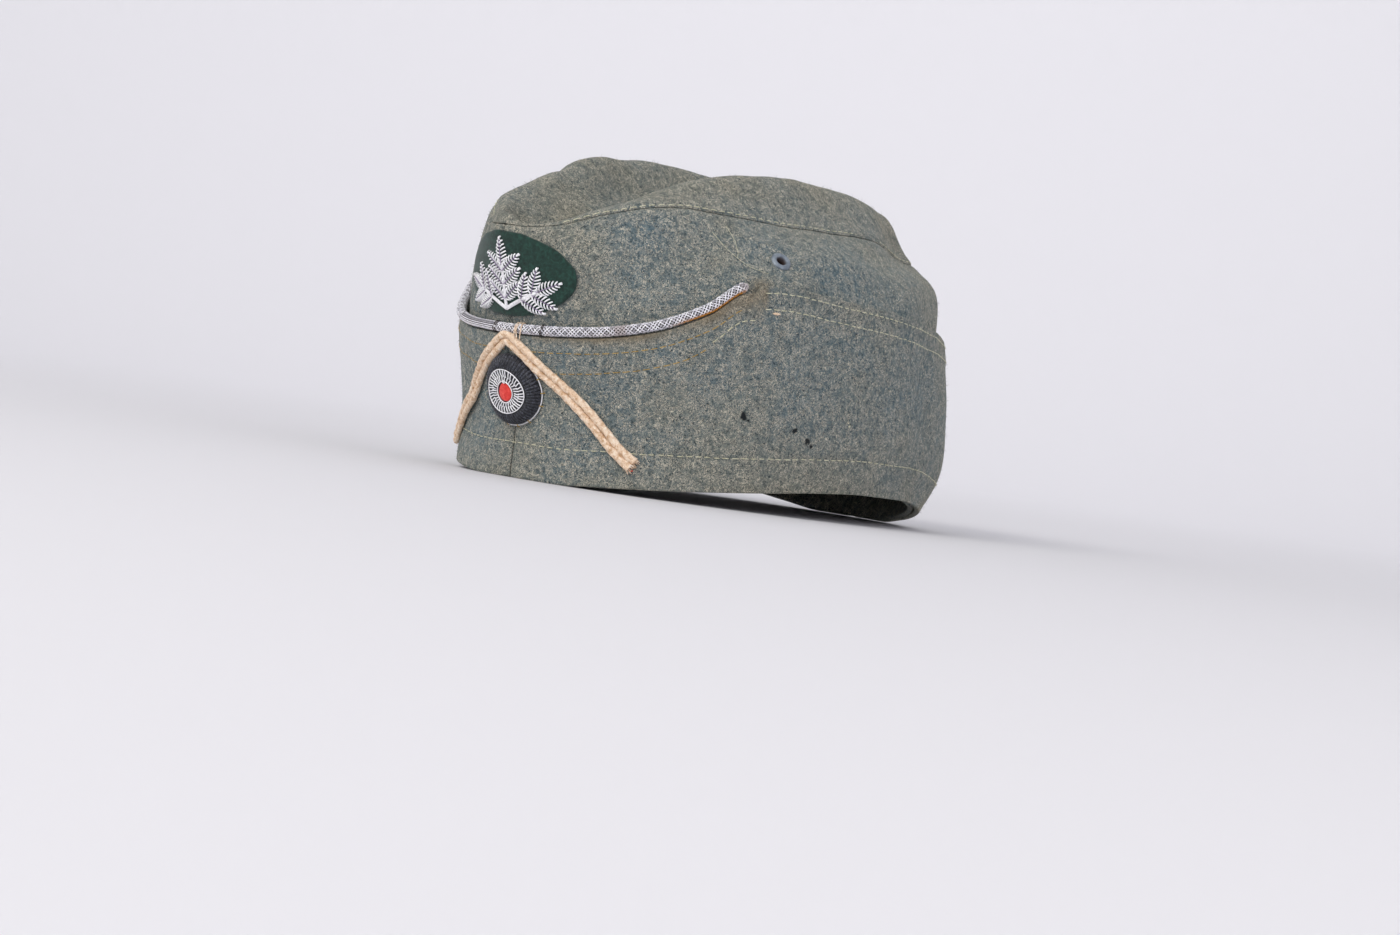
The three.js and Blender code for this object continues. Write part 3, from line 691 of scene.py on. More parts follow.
def wool_sheet(name, cloth, turns, rows, low, high, wall, joined=False):
    """A panel of cloth between two rises, with a wall, dented by its creases and rounded at its cut edges.
    One that is joined goes all round."""
    shares = np.linspace(0, 1, rows + 1)[:, None]
    rise = low * (1 - shares) + high * shares
    turn = np.broadcast_to(turns, rise.shape)
    smooth = cloth.at(turn, rise).reshape(-1, 3)
    facing = cloth.outward(turn, rise).reshape(-1, 3)
    turn, rise = turn.ravel(), rise.ravel()
    out = relief(cloth, smooth)
    if not joined:
        out = out * np.clip(rise / RIM_HOLD, 0, 1)
    if cloth is curtain:
        out += groove(np.abs(smooth[:, 0]), 0.8, 1.1)
        hem = rise - np.tile(curtain.rise_above(turns, 0, HEM_ROW), rows + 1)
        out += groove(hem * 24, 0.35, 1.0)
    else:
        seam = np.linalg.norm(smooth - np.tile(cloth.at(turns, SEAM), (rows + 1, 1)), axis=1)
        if joined:
            out += groove(seam, 0.5, 0.8) + 0.25 * np.exp(-((seam - 2.6) / 1.6) ** 2)
        else:
            out += groove(np.abs(smooth[:, 0]), 0.9, 0.9) + groove(seam, 0.6, 0.9)
    points = smooth + facing * out[:, None]
    if joined:
        points = close_the_fold(points, len(turns))
        rows += 3
    else:
        side = np.sign(turns.mean())
        points[:, 0] = side * np.maximum(side * points[:, 0], 0.03)
    faces = grid_faces(0, rows, len(turns), joined)
    piece = mesh_piece(name, points, faces, WOOL)
    store_wear(piece, cloth, points, turn, rise)
    apply_modifier(piece, "SOLIDIFY", thickness=wall * MM, offset=-1.0)
    apply_modifier(piece, "BEVEL", width=0.55 * MM, segments=2, limit_method="ANGLE",
                   angle_limit=math.radians(55))
    return piece


def close_the_fold(points, width):
    """Adds the rows that join the two sides of the fold along its bottom in a soft round floor."""
    last = points[-width:]
    for share in (0.4, 0.75, 1.0):
        lower = last * (1 - share, 1, 1)
        lower[:, 2] -= 0.9 * (1 - (1 - share) ** 2)
        points = np.vstack([points, lower])
    return points


def store_wear(piece, cloth, points, turn, rise):
    """Marks where the cloth is handled olive and where the piping has stained it."""
    added = len(points) - len(turn)
    turn = np.append(turn, np.zeros(added))
    rise = np.append(rise, np.full(added, float(FOLD)))
    patches = lumps(points, 26.0, 0)
    rear = np.clip((np.abs(turn) - 95) / 60, 0, 1)
    if cloth is curtain:
        handled = 0.75 * np.exp(-rise / 0.45) + 0.55 * np.exp(-(EDGE - rise) / 0.5) + 0.4 * rear
        under = np.exp(-((EDGE - rise - 0.2) / 0.28) ** 2) * np.clip((turn - 6) / 8, 0, 1) * (turn < 62)
        stained = under * np.clip(0.55 + 0.5 * patches, 0, 1) * 0.8
    else:
        handled = 0.25 + 0.35 * rear + 0.35 * np.clip((rise - 5.4) / 1.2, 0, 1)
        piping_end = curtain.at(61.5, 4.1)
        stained = 0.75 * np.exp(-(np.linalg.norm(points - piping_end, axis=1) / 5.0) ** 2)
    store(piece, "handled", np.clip(handled + 0.35 * patches, 0, 1))
    store(piece, "stained", stained)


def eyelet_place(side):
    """Where an eyelet sits, in metres, and the turn that faces it out of the cloth."""
    facing = Vector(crown.outward(side * EYELET_TURN, EYELET_RISE))
    place = Vector(metres(crown.at(side * EYELET_TURN, EYELET_RISE)))
    return place, facing.to_track_quat("Z", "Y").to_euler()


def drill_eyelet_hole(panel, side):
    """Cuts the round hole that the eyelet's barrel goes through."""
    place, facing = eyelet_place(side)
    bpy.ops.mesh.primitive_cylinder_add(vertices=32, radius=(EYELET_BARREL - 0.1) * MM, depth=16 * MM,
                                        location=place, rotation=facing)
    drill = bpy.context.object
    select_only(panel)
    apply_modifier(panel, "BOOLEAN", operation="DIFFERENCE", object=drill, solver="EXACT")
    bpy.data.objects.remove(drill)


def make_wool():
    for word, side in (("left", 1), ("right", -1)):
        turns = np.linspace(0, 180, 190)
        if side < 0:
            turns = turns - 180
        seam = crown.rise_above(turns, SEAM, -SEAM_GAP)
        sheet = wool_sheet(f"crown_cloth_{word}", crown, turns, 84, 0.0, seam, CROWN_WALL)
        drill_eyelet_hole(sheet, side)
        belongs(sheet, "field_wool", f"crown_side_{word}")
        lowered = curtain.rise_above(turns, EDGE, -NOTCH_DEPTH)
        edge = np.where(np.abs(turns) <= PIPING_NOTCH_TURN, lowered, float(EDGE))
        turned_up = wool_sheet(f"curtain_cloth_{word}", curtain, turns, 60, 0.0, edge, CURTAIN_WALL)
        belongs(turned_up, "field_wool", f"curtain_{word}")
    turns = np.linspace(-180, 180, 361)[:-1]
    seam = crown.rise_above(turns, SEAM, SEAM_GAP)
    top = wool_sheet("crown_cloth_top", crown, turns, 56, seam, float(FOLD), CROWN_WALL, joined=True)
    belongs(top, "field_wool", "crown_top")


make_wool()


# ROUND PIECES LAID ON THE CLOTH

def disc_piece(name, profile, count, half_size, material, spot, ripple=None):
    """A closed round piece laid on a cloth. Each profile row is a share of the half size and a height,
    from the middle of the back out and round to the middle of the face. A ripple grows and lifts it, and
    gives the painted shade of its grooves."""
    angles = np.arange(count) * 2 * math.pi / count
    across, up = half_size(angles)
    rings, painted_shades_and_tones = [], [np.zeros(1)]
    for share, height in profile[1:-1]:
        grown, raised, painted_shade_and_tone = ripple(angles, share, height) if ripple else (0.0, 0.0, np.zeros(count))
        painted_shades_and_tones.append(painted_shade_and_tone)
        rings.append(np.column_stack([across * share * (1 + grown), up * share * (1 + grown),
                                      np.full(count, height) + raised]))
    points = np.vstack([[(0, 0, profile[0][1])], *rings, [(0, 0, profile[-1][1])]])
    faces = grid_faces(1, len(rings) - 1, count)
    last = len(points) - 1
    for i in range(count):
        j = (i + 1) % count
        faces.extend([(0, 1 + j, 1 + i), (last - count + i, last - count + j, last)])
    piece = mesh_piece(name, spot.lay(points), faces, material)
    # Stores the ripple's painted shade for the material, zero where there is no ripple
    store(piece, "painted_shade_and_tone", np.concatenate([*painted_shades_and_tones, np.zeros(1)]))
    return piece


def round_size(radius):
    return lambda angles: (radius * np.cos(angles), radius * np.sin(angles))


def fine_profile(profile, step):
    """More rows along a profile, at even steps, so that relief can follow it."""
    rows = [profile[0]]
    for (r0, h0), (r1, h1) in zip(profile[:-1], profile[1:]):
        pieces = max(1, int(math.hypot(r1 - r0, h1 - h0) / step))
        for k in range(1, pieces + 1):
            rows.append((r0 + (r1 - r0) * k / pieces, h0 + (h1 - h0) * k / pieces))
    return rows


def arc_path(across, up, height, start, end, count, place_x=0.0, place_y=0.0):
    """Flat points along an arc, in degrees anticlockwise from the right, by its half sizes and middle."""
    angles = np.radians(np.linspace(start, end, count))
    return np.column_stack([place_x + across * np.cos(angles), place_y + up * np.sin(angles),
                            np.full(count, height)])


CORDS = 60
WOUND_RADIUS = COCKADE_RADIUS - 0.25
# The wound rim's radius and height in mm, from the middle of its back round to the middle of its face
WOUND_RIM = [(0.0, 0.3), (6.0, 0.3), (12.0, 0.3), (12.9, 0.35), (13.15, 0.9), (13.05, 1.8), (12.75, 2.7),
             (12.2, 3.6), (11.4, 4.45), (10.4, 5.1), (9.5, 5.3), (9.1, 5.0), (8.9, 4.6), (4.5, 4.6),
             (0.0, 4.6)]
RING_BED = [(0.0, 4.7), (0.45, 4.7), (0.94, 4.7), (0.97, 5.1), (0.9, 5.35), (0.6, 5.4), (0.44, 5.3),
            (0.42, 4.8), (0.0, 4.8)]
FELT_CENTRE = [(0.0, 4.9), (0.6, 4.9), (0.97, 4.95), (1.0, 5.3), (0.97, 5.8), (0.88, 6.0), (0.6, 6.12),
               (0.3, 6.18), (0.0, 6.2)]
# Rows of looped ring wires: radius from and to, how many, height, and slant
LOOP_ROWS = [(6.3, 8.7, 38, 5.8, 0.06), (4.5, 6.6, 30, 5.85, -0.05)]
# A tie stitch's radius and height from the wound rim down to the cloth, and where the ties are
TIE_PATH = [(12.9, 0.8), (13.3, 1.2), (13.7, 1.05), (14.1, 0.4), (14.3, -0.2)]
TIE_ANGLES = [22, 0, -21, -56, -81, -105, -130]


def cord_ripple(angles, share, height):
    """The wound cords' ridges, which lean as they go up the rim, and the painted shade in the grooves
    between them.
    """
    if height < 0.4 or share < RING_RADIUS / WOUND_RADIUS:
        return 0.0, 0.0, np.zeros_like(angles)
    ridge = np.abs(np.sin(angles * CORDS / 2 + height * 0.22))
    unlike = 0.12 * np.sin(angles * 7 + 1.3) + 0.1 * np.sin(angles * 11 + height)
    steep = min(1.0, max(0.0, (height - 0.4) / 0.8))
    wave = (ridge ** 0.7 - 0.55) * (0.52 + unlike * 0.5) * steep
    # The third value is painted shade: the dark tone laid in the grooves between the cords
    return wave / WOUND_RADIUS / share, wave * 0.7, np.clip(1.3 - 2.4 * ridge, 0, 1)


def egg_size(angles):
    return 3.15 * np.cos(angles) * (1 - 0.1 * np.sin(angles)), 4.05 * np.sin(angles)


def make_cockade():
    """A padded rim wound with black cord, a ring of looped silver wires on it, and a red felt centre."""
    rim = [(radius / WOUND_RADIUS, height) for radius, height in fine_profile(WOUND_RIM, 0.5)]
    wound = disc_piece("cockade_cords", rim, CORDS * 6, round_size(WOUND_RADIUS), BLACK_SILK, COCKADE_SPOT,
                       cord_ripple)
    belongs(wound, "black_cord", "cockade_dome")
    bed = disc_piece("cockade_ring_bed", RING_BED, 72, round_size(RING_RADIUS), BLACK_SILK, COCKADE_SPOT)
    belongs(bed, "silver_cord", "cockade_ring")
    loops = []
    share = np.array([0.0, 0.25, 0.6, 0.88, 1.0])
    for inner, outer, number, top, slant in LOOP_ROWS:
        for k in range(number):
            angle = 2 * math.pi * (k + rng.uniform(-0.12, 0.12)) / number + slant * share
            radius = inner + (outer + rng.uniform(-0.12, 0.12) - inner) * share
            lift = top - 0.32 + 0.45 * np.sin(math.pi * (0.18 + 0.74 * share))
            loops.append(np.column_stack([radius * np.cos(angle), radius * np.sin(angle), lift]))
    edges = [arc_path(8.95, 8.95, 5.62, 0, 360, 90), arc_path(3.75, 4.6, 6.0, 95, 445, 60),
             arc_path(0.45, 0.45, 6.3, 0, 360, 14, 0.5, 4.55)]
    ties = [[(radius * math.cos(angle), radius * math.sin(angle), height) for radius, height in TIE_PATH]
            for angle in np.radians(TIE_ANGLES)]
    for name, paths, radius, sides, material, slot in (
            ("cockade_ring_wires", loops, 0.24, 1, BRIGHT_SILVER, "silver_cord"),
            ("cockade_edge_wires", edges, 0.22, 2, BRIGHT_SILVER, "silver_cord"),
            ("cockade_base_wire", [arc_path(13.5, 13.5, 0.75, 44, -152, 90)], 0.28, 2, BRIGHT_SILVER,
             "silver_cord"),
            ("cockade_tie_stitches", ties, 0.2, 1, TAN_THREAD, "cream_braid")):
        laid = [COCKADE_SPOT.lay(path) for path in paths]
        belongs(thread_piece(name, laid, radius, material, sides), slot)
    felt = disc_piece("cockade_red_felt", FELT_CENTRE, 48, egg_size, RED_FELT, COCKADE_SPOT)
    belongs(felt, "red_felt", "cockade_button")


# PIPING

def frames_along(points, facing):
    """Unit directions along a path, and across it in the cloth's plane."""
    along = unit(np.gradient(points, axis=0))
    return along, unit(np.cross(along, facing))


PIPING_STEPS = 620
WIRE_PITCH = 10.0
WIRES_EACH_WAY = 7
CORE_RADIUS = PIPING_RADIUS - 0.45
WIRE_CENTRE_RADIUS = PIPING_RADIUS - 0.36
# Turns between which the wires run straight, and the dark wraps' turns and radii
PULLED_FROM = -24.0
PULLED_TO = -3.4
WRAPS = [(-3.4, 2.15), (-2.6, 2.1), (12.0, 2.12), (12.5, 2.2)]


def piping_route():
    """Even steps along the piping: the turn, the length, the middle, and the cloth's facing."""
    turns = np.linspace(-PIPING_END_TURN, PIPING_END_TURN, 900)
    length = length_along(curtain.off(turns, EDGE, -PIPING_SINK))
    even = np.linspace(0, length[-1], PIPING_STEPS)
    turn = np.interp(even, length, turns)
    return turn, even, curtain.off(turn, EDGE, -PIPING_SINK), curtain.outward(turn, EDGE)


def step_at(place, turn):
    """The piping's step at a turn."""
    return int(np.interp(place, turn, np.arange(PIPING_STEPS)))


def make_piping():
    """A round braid of seven wires each way over a soft core, pulled straight for a stretch right of the
    middle, and tarnished below."""
    turn, length, centre, facing = piping_route()
    along, across = frames_along(centre, facing)
    tapered = np.clip(np.minimum(length, length[-1] - length) / 1.6, 0, 1) ** 0.5
    wobble = wander(length, 9.0, 3.1, 0.7)
    # The core's dark colour is painted shade: it shows through the gaps as the shade down between the wires
    core = thread_piece("piping_core", [centre[6:-6:4]], CORE_RADIUS, DARK_THREAD_AND_GAP_SHADE, sides=4, taper=0.6)
    belongs(core, "silver_cord")
    paths = []
    start = np.interp(PULLED_TO, turn, length)
    pulled = start - np.interp(PULLED_FROM, turn, length)
    braided = np.where(length > start, length - start, np.minimum(length - start + pulled, 0))
    for way in (1, -1):
        for k in range(WIRES_EACH_WAY):
            angle = way * 2 * math.pi * braided / WIRE_PITCH
            angle = angle + 2 * math.pi * (k + (way > 0) / 2) / WIRES_EACH_WAY
            weave = 0.18 * way * np.sin(WIRES_EACH_WAY * 2 * math.pi * braided / WIRE_PITCH + k * math.pi)
            radius = (WIRE_CENTRE_RADIUS + 0.12 * wobble + weave) * (0.25 + 0.75 * tapered)
            out = np.cos(angle) * radius * 0.94
            aside = np.sin(angle) * radius
            paths.append(centre + facing * out[:, None] + across * aside[:, None])
    cord = thread_piece("piping_wires", paths, 0.24, SILVER)
    belongs(cord, "silver_cord", "piping")
    tarnish_piping(cord, len(paths), turn, length, centre, across)
    wraps = []
    angles = np.linspace(-0.2, 2 * math.pi - 0.5, 16)[:, None]
    lean = np.linspace(-0.35, 0.45, 16)[:, None]
    for place, radius in WRAPS:
        i = step_at(place, turn)
        wraps.append(centre[i] + lean * along[i] + facing[i] * np.cos(angles) * radius
                     + across[i] * np.sin(angles) * radius)
    belongs(thread_piece("piping_wraps", wraps, 0.17, DARK_THREAD_AND_GAP_SHADE), "silver_cord")


def tarnish_piping(cord, wires, turn, length, centre, across):
    """Marks the wires that are dull, the tarnish along the underside and where the silver is worn grey."""
    places = np.zeros(len(cord.data.vertices) * 3, np.float32)
    cord.data.vertices.foreach_get("co", places)
    places = places.reshape(-1, 3) / MM - np.array(LENGTH_SHIFT)
    coarse = np.arange(0, PIPING_STEPS, 6)
    nearest = np.empty(len(places), int)
    for start in range(0, len(places), 4000):
        part = places[start:start + 4000]
        gaps = ((part[:, None, :] - centre[coarse][None]) ** 2).sum(axis=2)
        nearest[start:start + 4000] = coarse[gaps.argmin(axis=1)]
    side = ((places - centre[nearest]) * across[nearest]).sum(axis=1) / PIPING_RADIUS
    low_side = side * np.sign(-across[nearest][:, 2])
    here = turn[nearest]
    patchy = (0.5 + wander(length, 5.0, 1.7, 4.2))[nearest]
    orange = np.clip((low_side - 0.35) * 3, 0, 1) * np.clip((here - 42) / 5, 0, 1) * (here < 57.4)
    brown = 0.3 * np.clip(patchy - 0.45, 0, 1) * np.clip(low_side + 0.3, 0, 1)
    worn = np.exp(-((here - 31.8) / 1.6) ** 2) * 0.9 + np.clip((here - 56.2) / 1.2, 0, 1) * 0.8
    wire = np.arange(len(places)) // (len(places) // wires)
    store(cord, "dulled", np.where(wire % 4 == 1, 0.58, 0.0))
    store(cord, "tarnished", np.clip(orange + brown, 0, 1))
    store(cord, "worn", np.clip(worn, 0, 1))


# CHEVRON BRAID

# The braid's middle line seen from the front, across and up in mm
BRAID_ROUTE = [(-48.0, 11.3), (-43.5, 16.0), (-35.3, 23.5), (-28.0, 28.8), (-22.2, 35.6), (-14.3, 42.8),
               (-7.8, 47.0), (-3.2, 50.2), (0.2, 52.0), (2.6, 52.0), (5.8, 50.0), (10.4, 46.6),
               (16.5, 41.5), (24.0, 35.8), (31.5, 28.9), (37.1, 22.8), (42.4, 16.6), (48.0, 11.6)]
BRAID_WIDTH = 6.2
BRAID_HEIGHT = 1.8
BRAID_STEPS = 380
CORD_SIDES = 18
PLY_TURN = 9.0
TIE_LOOPS = [(4.2, 0.5), (5.0, -0.2), (6.0, 0.9)]


def braid_line():
    """The braid's middle line on the curtain, with the cloth's facing and the way across the braid."""
    ends = [np.array(p) for p in BRAID_ROUTE]
    ends = [2 * ends[0] - ends[1], *ends, 2 * ends[-1] - ends[-2]]
    shares = np.linspace(0, 1, 12, endpoint=False)
    flat = []
    for k in range(len(ends) - 3):
        flat.extend(between(*(np.tile(p, (12, 1)) for p in ends[k:k + 4]), shares))
    flat = np.array([*flat, ends[-2]])
    turn, rise = seen_from_front(curtain, flat[:, 0], flat[:, 1], 0, EDGE)
    length = length_along(curtain.at(turn, rise))
    even = np.linspace(0, length[-1], BRAID_STEPS)
    turn, rise = np.interp(even, length, turn), np.interp(even, length, rise)
    middle, facing = curtain.at(turn, rise), curtain.outward(turn, rise)
    return even, middle, facing, *frames_along(middle, facing)


def make_braid():
    """Two soft cotton cords side by side, each of three plies, pressed flat where they touch the cloth."""
    length, middle, facing, along, across = braid_line()
    angles = np.linspace(0, 2 * math.pi, CORD_SIDES, endpoint=False)
    points, faces, painted_shades_and_tones = [], [], []
    for cord, side in enumerate((-1, 1)):
        swell = wander(length, 7.0, cord * 5.0, 2.2)
        sway = wander(length, 11.0, cord * 3.0, 8.2)[:, None]
        patch = 0.5 + wander(length, 2.5, cord * 9.0, 5.0)[:, None]
        blunt = 0.26 * np.exp(-np.minimum(length, length[-1] - length) / 4.0)
        radius = BRAID_WIDTH / 4 * (0.97 + 0.14 * swell + blunt)
        lobe = np.abs(np.cos(angles * 1.5 - side * 2 * math.pi * length[:, None] / PLY_TURN + 2 * sway))
        size = radius[:, None] * (0.88 + 0.15 * lobe)
        out = np.maximum(np.sin(angles) * size * 0.78 + BRAID_HEIGHT / 2 + 0.15, 0.12)
        aside = side * BRAID_WIDTH / 4 * 0.93 + np.cos(angles) * size + 0.25 * sway
        rings = middle[:, None] + facing[:, None] * out[..., None] + across[:, None] * aside[..., None]
        points.extend(rings.reshape(-1, 3))
        # Painted shade in patches where the plies dip and in the groove between the two cords; in that
        # groove it also stands for brown fibre marks
        groove_shade_and_marks = np.exp(-(aside / 0.6) ** 2) * np.maximum(0.0, 1.5 * patch - 0.5)
        painted_shades_and_tones.extend((1.4 * np.clip(0.42 - lobe, 0, 1) * patch + groove_shade_and_marks).ravel())
        base = cord * BRAID_STEPS * CORD_SIDES
        last = base + (BRAID_STEPS - 1) * CORD_SIDES
        for a in range(base, last, CORD_SIDES):
            for k in range(CORD_SIDES):
                n = (k + 1) % CORD_SIDES
                faces.append((a + k, a + CORD_SIDES + k, a + CORD_SIDES + n, a + n))
        faces.append(range(base, base + CORD_SIDES))
        faces.append(reversed(range(last, last + CORD_SIDES)))
    cords = mesh_piece("chevron_cords", points, faces, CREAM_COTTON)
    store(cords, "painted_shade_and_tone", np.clip(painted_shades_and_tones, 0, 1))
    belongs(cords, "cream_braid", "chevron_braid")

    frays = []
    for end, forward in ((0, -1), (-1, 1)):
        ahead = along[end] * forward
        for _ in range(26):
            aside = rng.uniform(-2.4, 2.4)
            start = middle[end] - ahead * 1.2 + across[end] * aside + facing[end] * rng.uniform(0.4, 1.6)
            reach = rng.uniform(1.4, 3.4)
            spread = aside * 0.35 + rng.uniform(-0.7, 0.7)
            tip = start + ahead * reach + across[end] * spread + facing[end] * rng.uniform(-0.7, 0.3)
            frays.append([start, (start + tip) / 2 + facing[end] * rng.uniform(0.0, 0.5), tip])
    belongs(thread_piece("chevron_frayed_ends", frays, 0.22, CREAM_COTTON, taper=0.5), "cream_braid")
    fleck = middle[-1] + along[-1] * 0.6 + across[-1] * 1.8 + facing[-1] * 0.9
    twist = [fleck + across[-1] * 0.5 * math.sin(k) + along[-1] * 0.25 * k + facing[-1] * 0.2 * math.cos(k)
             for k in range(5)]
    belongs(thread_piece("chevron_red_fleck", [twist], 0.25, RED_FELT), "cream_braid")

    turn, _, centre, outward = piping_route()
    loops = []
    top = np.array((0.0, 0.0, 1.0))
    for place, lean in TIE_LOOPS:
        i = step_at(place, turn)
        low = curtain.at(turn[i], 3.72) + outward[i] * 1.6
        loops.append([
            low - top * 0.8, low + outward[i] * 0.3, centre[i] + outward[i] * 2.3 + (lean, 0, 0),
            centre[i] + outward[i] * 1.7 + top * 1.6 + (lean * 0.6, 0, 0), centre[i] + top * 2.3,
            centre[i] + top * 1.7 - outward[i] * 1.2,
        ])
    belongs(thread_piece("chevron_tie_loop", loops, 0.26, CREAM_COTTON), "cream_braid")


# BADGE

LEAF_LENGTH = 10.5
SPRIG_ROOT = -12.5
SPRIG_TOP = 4.0
FELT_TOP = 1.1
# Each leaf's place up the stem in mm, and its lean in degrees. The sprigs lean by the last row.
UPPER_LEAVES = [(3, 0), (-4, 50), (-4, -50), (1, 50), (1, -50)]
LOWER_LEAVES = [(-9, 50), (-9, -50)]
SPRIGS = [(0, UPPER_LEAVES + LOWER_LEAVES), (64, UPPER_LEAVES), (-64, UPPER_LEAVES)]


def turned(points, degrees, pivot):
    """Flat points turned anticlockwise about a pivot on the upright axis."""
    points = np.array(points, float)
    angle = math.radians(degrees)
    across, up = points[:, 0].copy(), points[:, 1] - pivot
    points[:, 0] = across * math.cos(angle) - up * math.sin(angle)
    points[:, 1] = pivot + across * math.sin(angle) + up * math.cos(angle)
    return points


def leaf_wires():
    """Satin stitches from a leaf's middle out to its edges, and the vein between them."""
    wires = []
    for side in (-1, 1):
        for k in range(8):
            y = 0.4 + 8.7 * k / 7
            reach = min(LEAF_LENGTH - 0.1, y + 1.2)
            edge = side * 2.35 * math.sin(math.pi * (reach / LEAF_LENGTH) ** 0.8) ** 0.75
            wires.append([(side * 0.1, y, FELT_TOP + 0.35), (edge * 0.4, y + 0.4, FELT_TOP + 1.0),
                          (edge * 0.8, y + 0.9, FELT_TOP + 0.85), (edge, reach, FELT_TOP + 0.1)])
    return wires, [(0, y, FELT_TOP + 0.95) for y in np.linspace(0.4, LEAF_LENGTH - 0.6, 8)]


def torn_oval(angles):
    """The badge's felt, 56 mm by 31 mm, with a slightly uneven edge."""
    rough = np.array([noise.noise(Vector((math.cos(a) * 5, math.sin(a) * 5, 1.0))) for a in angles])
    return 28.0 * np.cos(angles) * (1 + 0.015 * rough), 15.5 * np.sin(angles) * (1 + 0.03 * rough)


def make_badge():
    """An oval of green felt with three sprigs fanned out on it, laid in silver wire with violet veins."""
    face = [(share, FELT_TOP) for share in np.linspace(0.92, 0.08, 12)]
    felt = [(0.0, 0.3), (0.5, 0.3), (0.985, 0.3), (1.0, 0.6), (0.985, FELT_TOP), *face, (0.0, FELT_TOP)]
    patch = disc_piece("badge_felt_patch", felt, 150, torn_oval, BADGE_FELT, BADGE_SPOT)
    belongs(patch, "backing_cloth", "badge_backing")
    wires, veins = [], []
    for sprig_lean, leaves in SPRIGS:
        for up, lean in leaves:
            satin, vein = leaf_wires()
            paths = [turned(path, -lean, 0.0) + (0, up, 0) for path in (*satin, vein)]
            *satin, vein = [BADGE_SPOT.lay(turned(path, sprig_lean, SPRIG_ROOT)) for path in paths]
            wires.extend(satin)
            veins.append(vein)
        for offset in (-0.45, 0.0, 0.45):
            height = FELT_TOP + 0.6 - abs(offset) * 0.3
            stem = [(offset, y, height) for y in np.linspace(SPRIG_ROOT, SPRIG_TOP, 16)]
            wires.append(BADGE_SPOT.lay(turned(stem, sprig_lean, SPRIG_ROOT)))
    belongs(thread_piece("badge_sprig_wires", wires, 0.31, BRIGHT_SILVER), "silver_cord", "badge_sprig")
    belongs(thread_piece("badge_leaf_veins", veins, 0.16, VIOLET_SILK), "silver_cord")


# EYELETS

def turned_piece(name, profile, count, material):
    """Turns a closed profile of radii and heights about z by extruding a ring again and again."""
    radius, height = profile[0]
    bpy.ops.mesh.primitive_circle_add(vertices=count, radius=radius * MM, location=(0, 0, height * MM))
    piece = bpy.context.object
    piece.name = name
    bpy.ops.object.transform_apply(location=True)
    bpy.ops.object.mode_set(mode="EDIT")
    bpy.ops.mesh.select_all(action="SELECT")
    for wider, higher in [*profile[1:], profile[0]]:
        bpy.ops.mesh.extrude_edges_move(TRANSFORM_OT_translate={"value": (0, 0, (higher - height) * MM)})
        bpy.ops.transform.resize(value=(wider / radius, wider / radius, 1))
        radius, height = wider, higher
    bpy.ops.mesh.select_all(action="SELECT")
    bpy.ops.mesh.remove_doubles(threshold=1e-6)
    bpy.ops.mesh.normals_make_consistent(inside=False)
    bpy.ops.object.mode_set(mode="OBJECT")
    piece.data.materials.append(material)
    bpy.ops.object.shade_smooth()
    return piece


# The eyelet's radius and height in mm, up its bore, over its flange and down its barrel to the washer
EYELET_PROFILE = [(EYELET_BORE, -3.0), (EYELET_BORE, 0.3), (2.05, 0.8), (2.3, 1.1), (2.65, 1.2), (3.2, 1.1),
                  (3.7, 0.8), (4.05, 0.4), (4.0, 0.15), (EYELET_BARREL, 0.1), (EYELET_BARREL - 0.25, -2.3),
                  (3.8, -2.3), (3.8, -3.0)]


def make_eyelets():
    for word, side in (("left", 1), ("right", -1)):
        deselect_all()
        piece = turned_piece(f"eyelet_ring_{word}", EYELET_PROFILE, 48, STEEL)
        places = np.array([v.co / MM for v in piece.data.vertices])
        radii = np.hypot(places[:, 0], places[:, 1])
        store(piece, "inside", np.clip((0.6 - places[:, 2]) / 1.2, 0, 1) * (radii < 2.3))
        piece.location, piece.rotation_euler = eyelet_place(side)
        bpy.ops.object.transform_apply(location=True, rotation=True, scale=True)
        belongs(piece, "eyelet_paint", f"eyelet_{word}")


# STITCHES

def stitches(cloth, turns, rises, length, gap):
    """Short threads one after another along a row of turns and rises, sunk in the felt in places."""
    along = length_along(cloth.at(turns, rises))
    paths = []
    start = rng.uniform(0, 1)
    while start + length < along[-1]:
        size = length * rng.uniform(0.85, 1.1)
        spots = start + size * np.array([0.0, 0.15, 0.5, 0.85, 1.0])
        turn = np.interp(spots, along, turns)
        rise = np.interp(spots, along, rises) + rng.uniform(-0.006, 0.006)
        base = cloth.at(turn, rise)
        buried = 0.9 * min(0.0, noise.noise(Vector(base[2]) / 26.0) + 0.1)
        arch = np.array([-0.3, 0.096, 0.16, 0.096, -0.3]) + buried
        paths.append(cloth.off(turn, rise, relief(cloth, base) + arch))
        start += size + gap * rng.uniform(0.8, 1.2)
    return paths


def sewn_row(cloth, start, end, level, distance, length, gap, count=300):
    """Stitches along a line that stays a distance in mm above a level, from one turn to another."""
    turns = np.linspace(start, end, count)
    return stitches(cloth, turns, cloth.rise_above(turns, float(level), distance), length, gap)


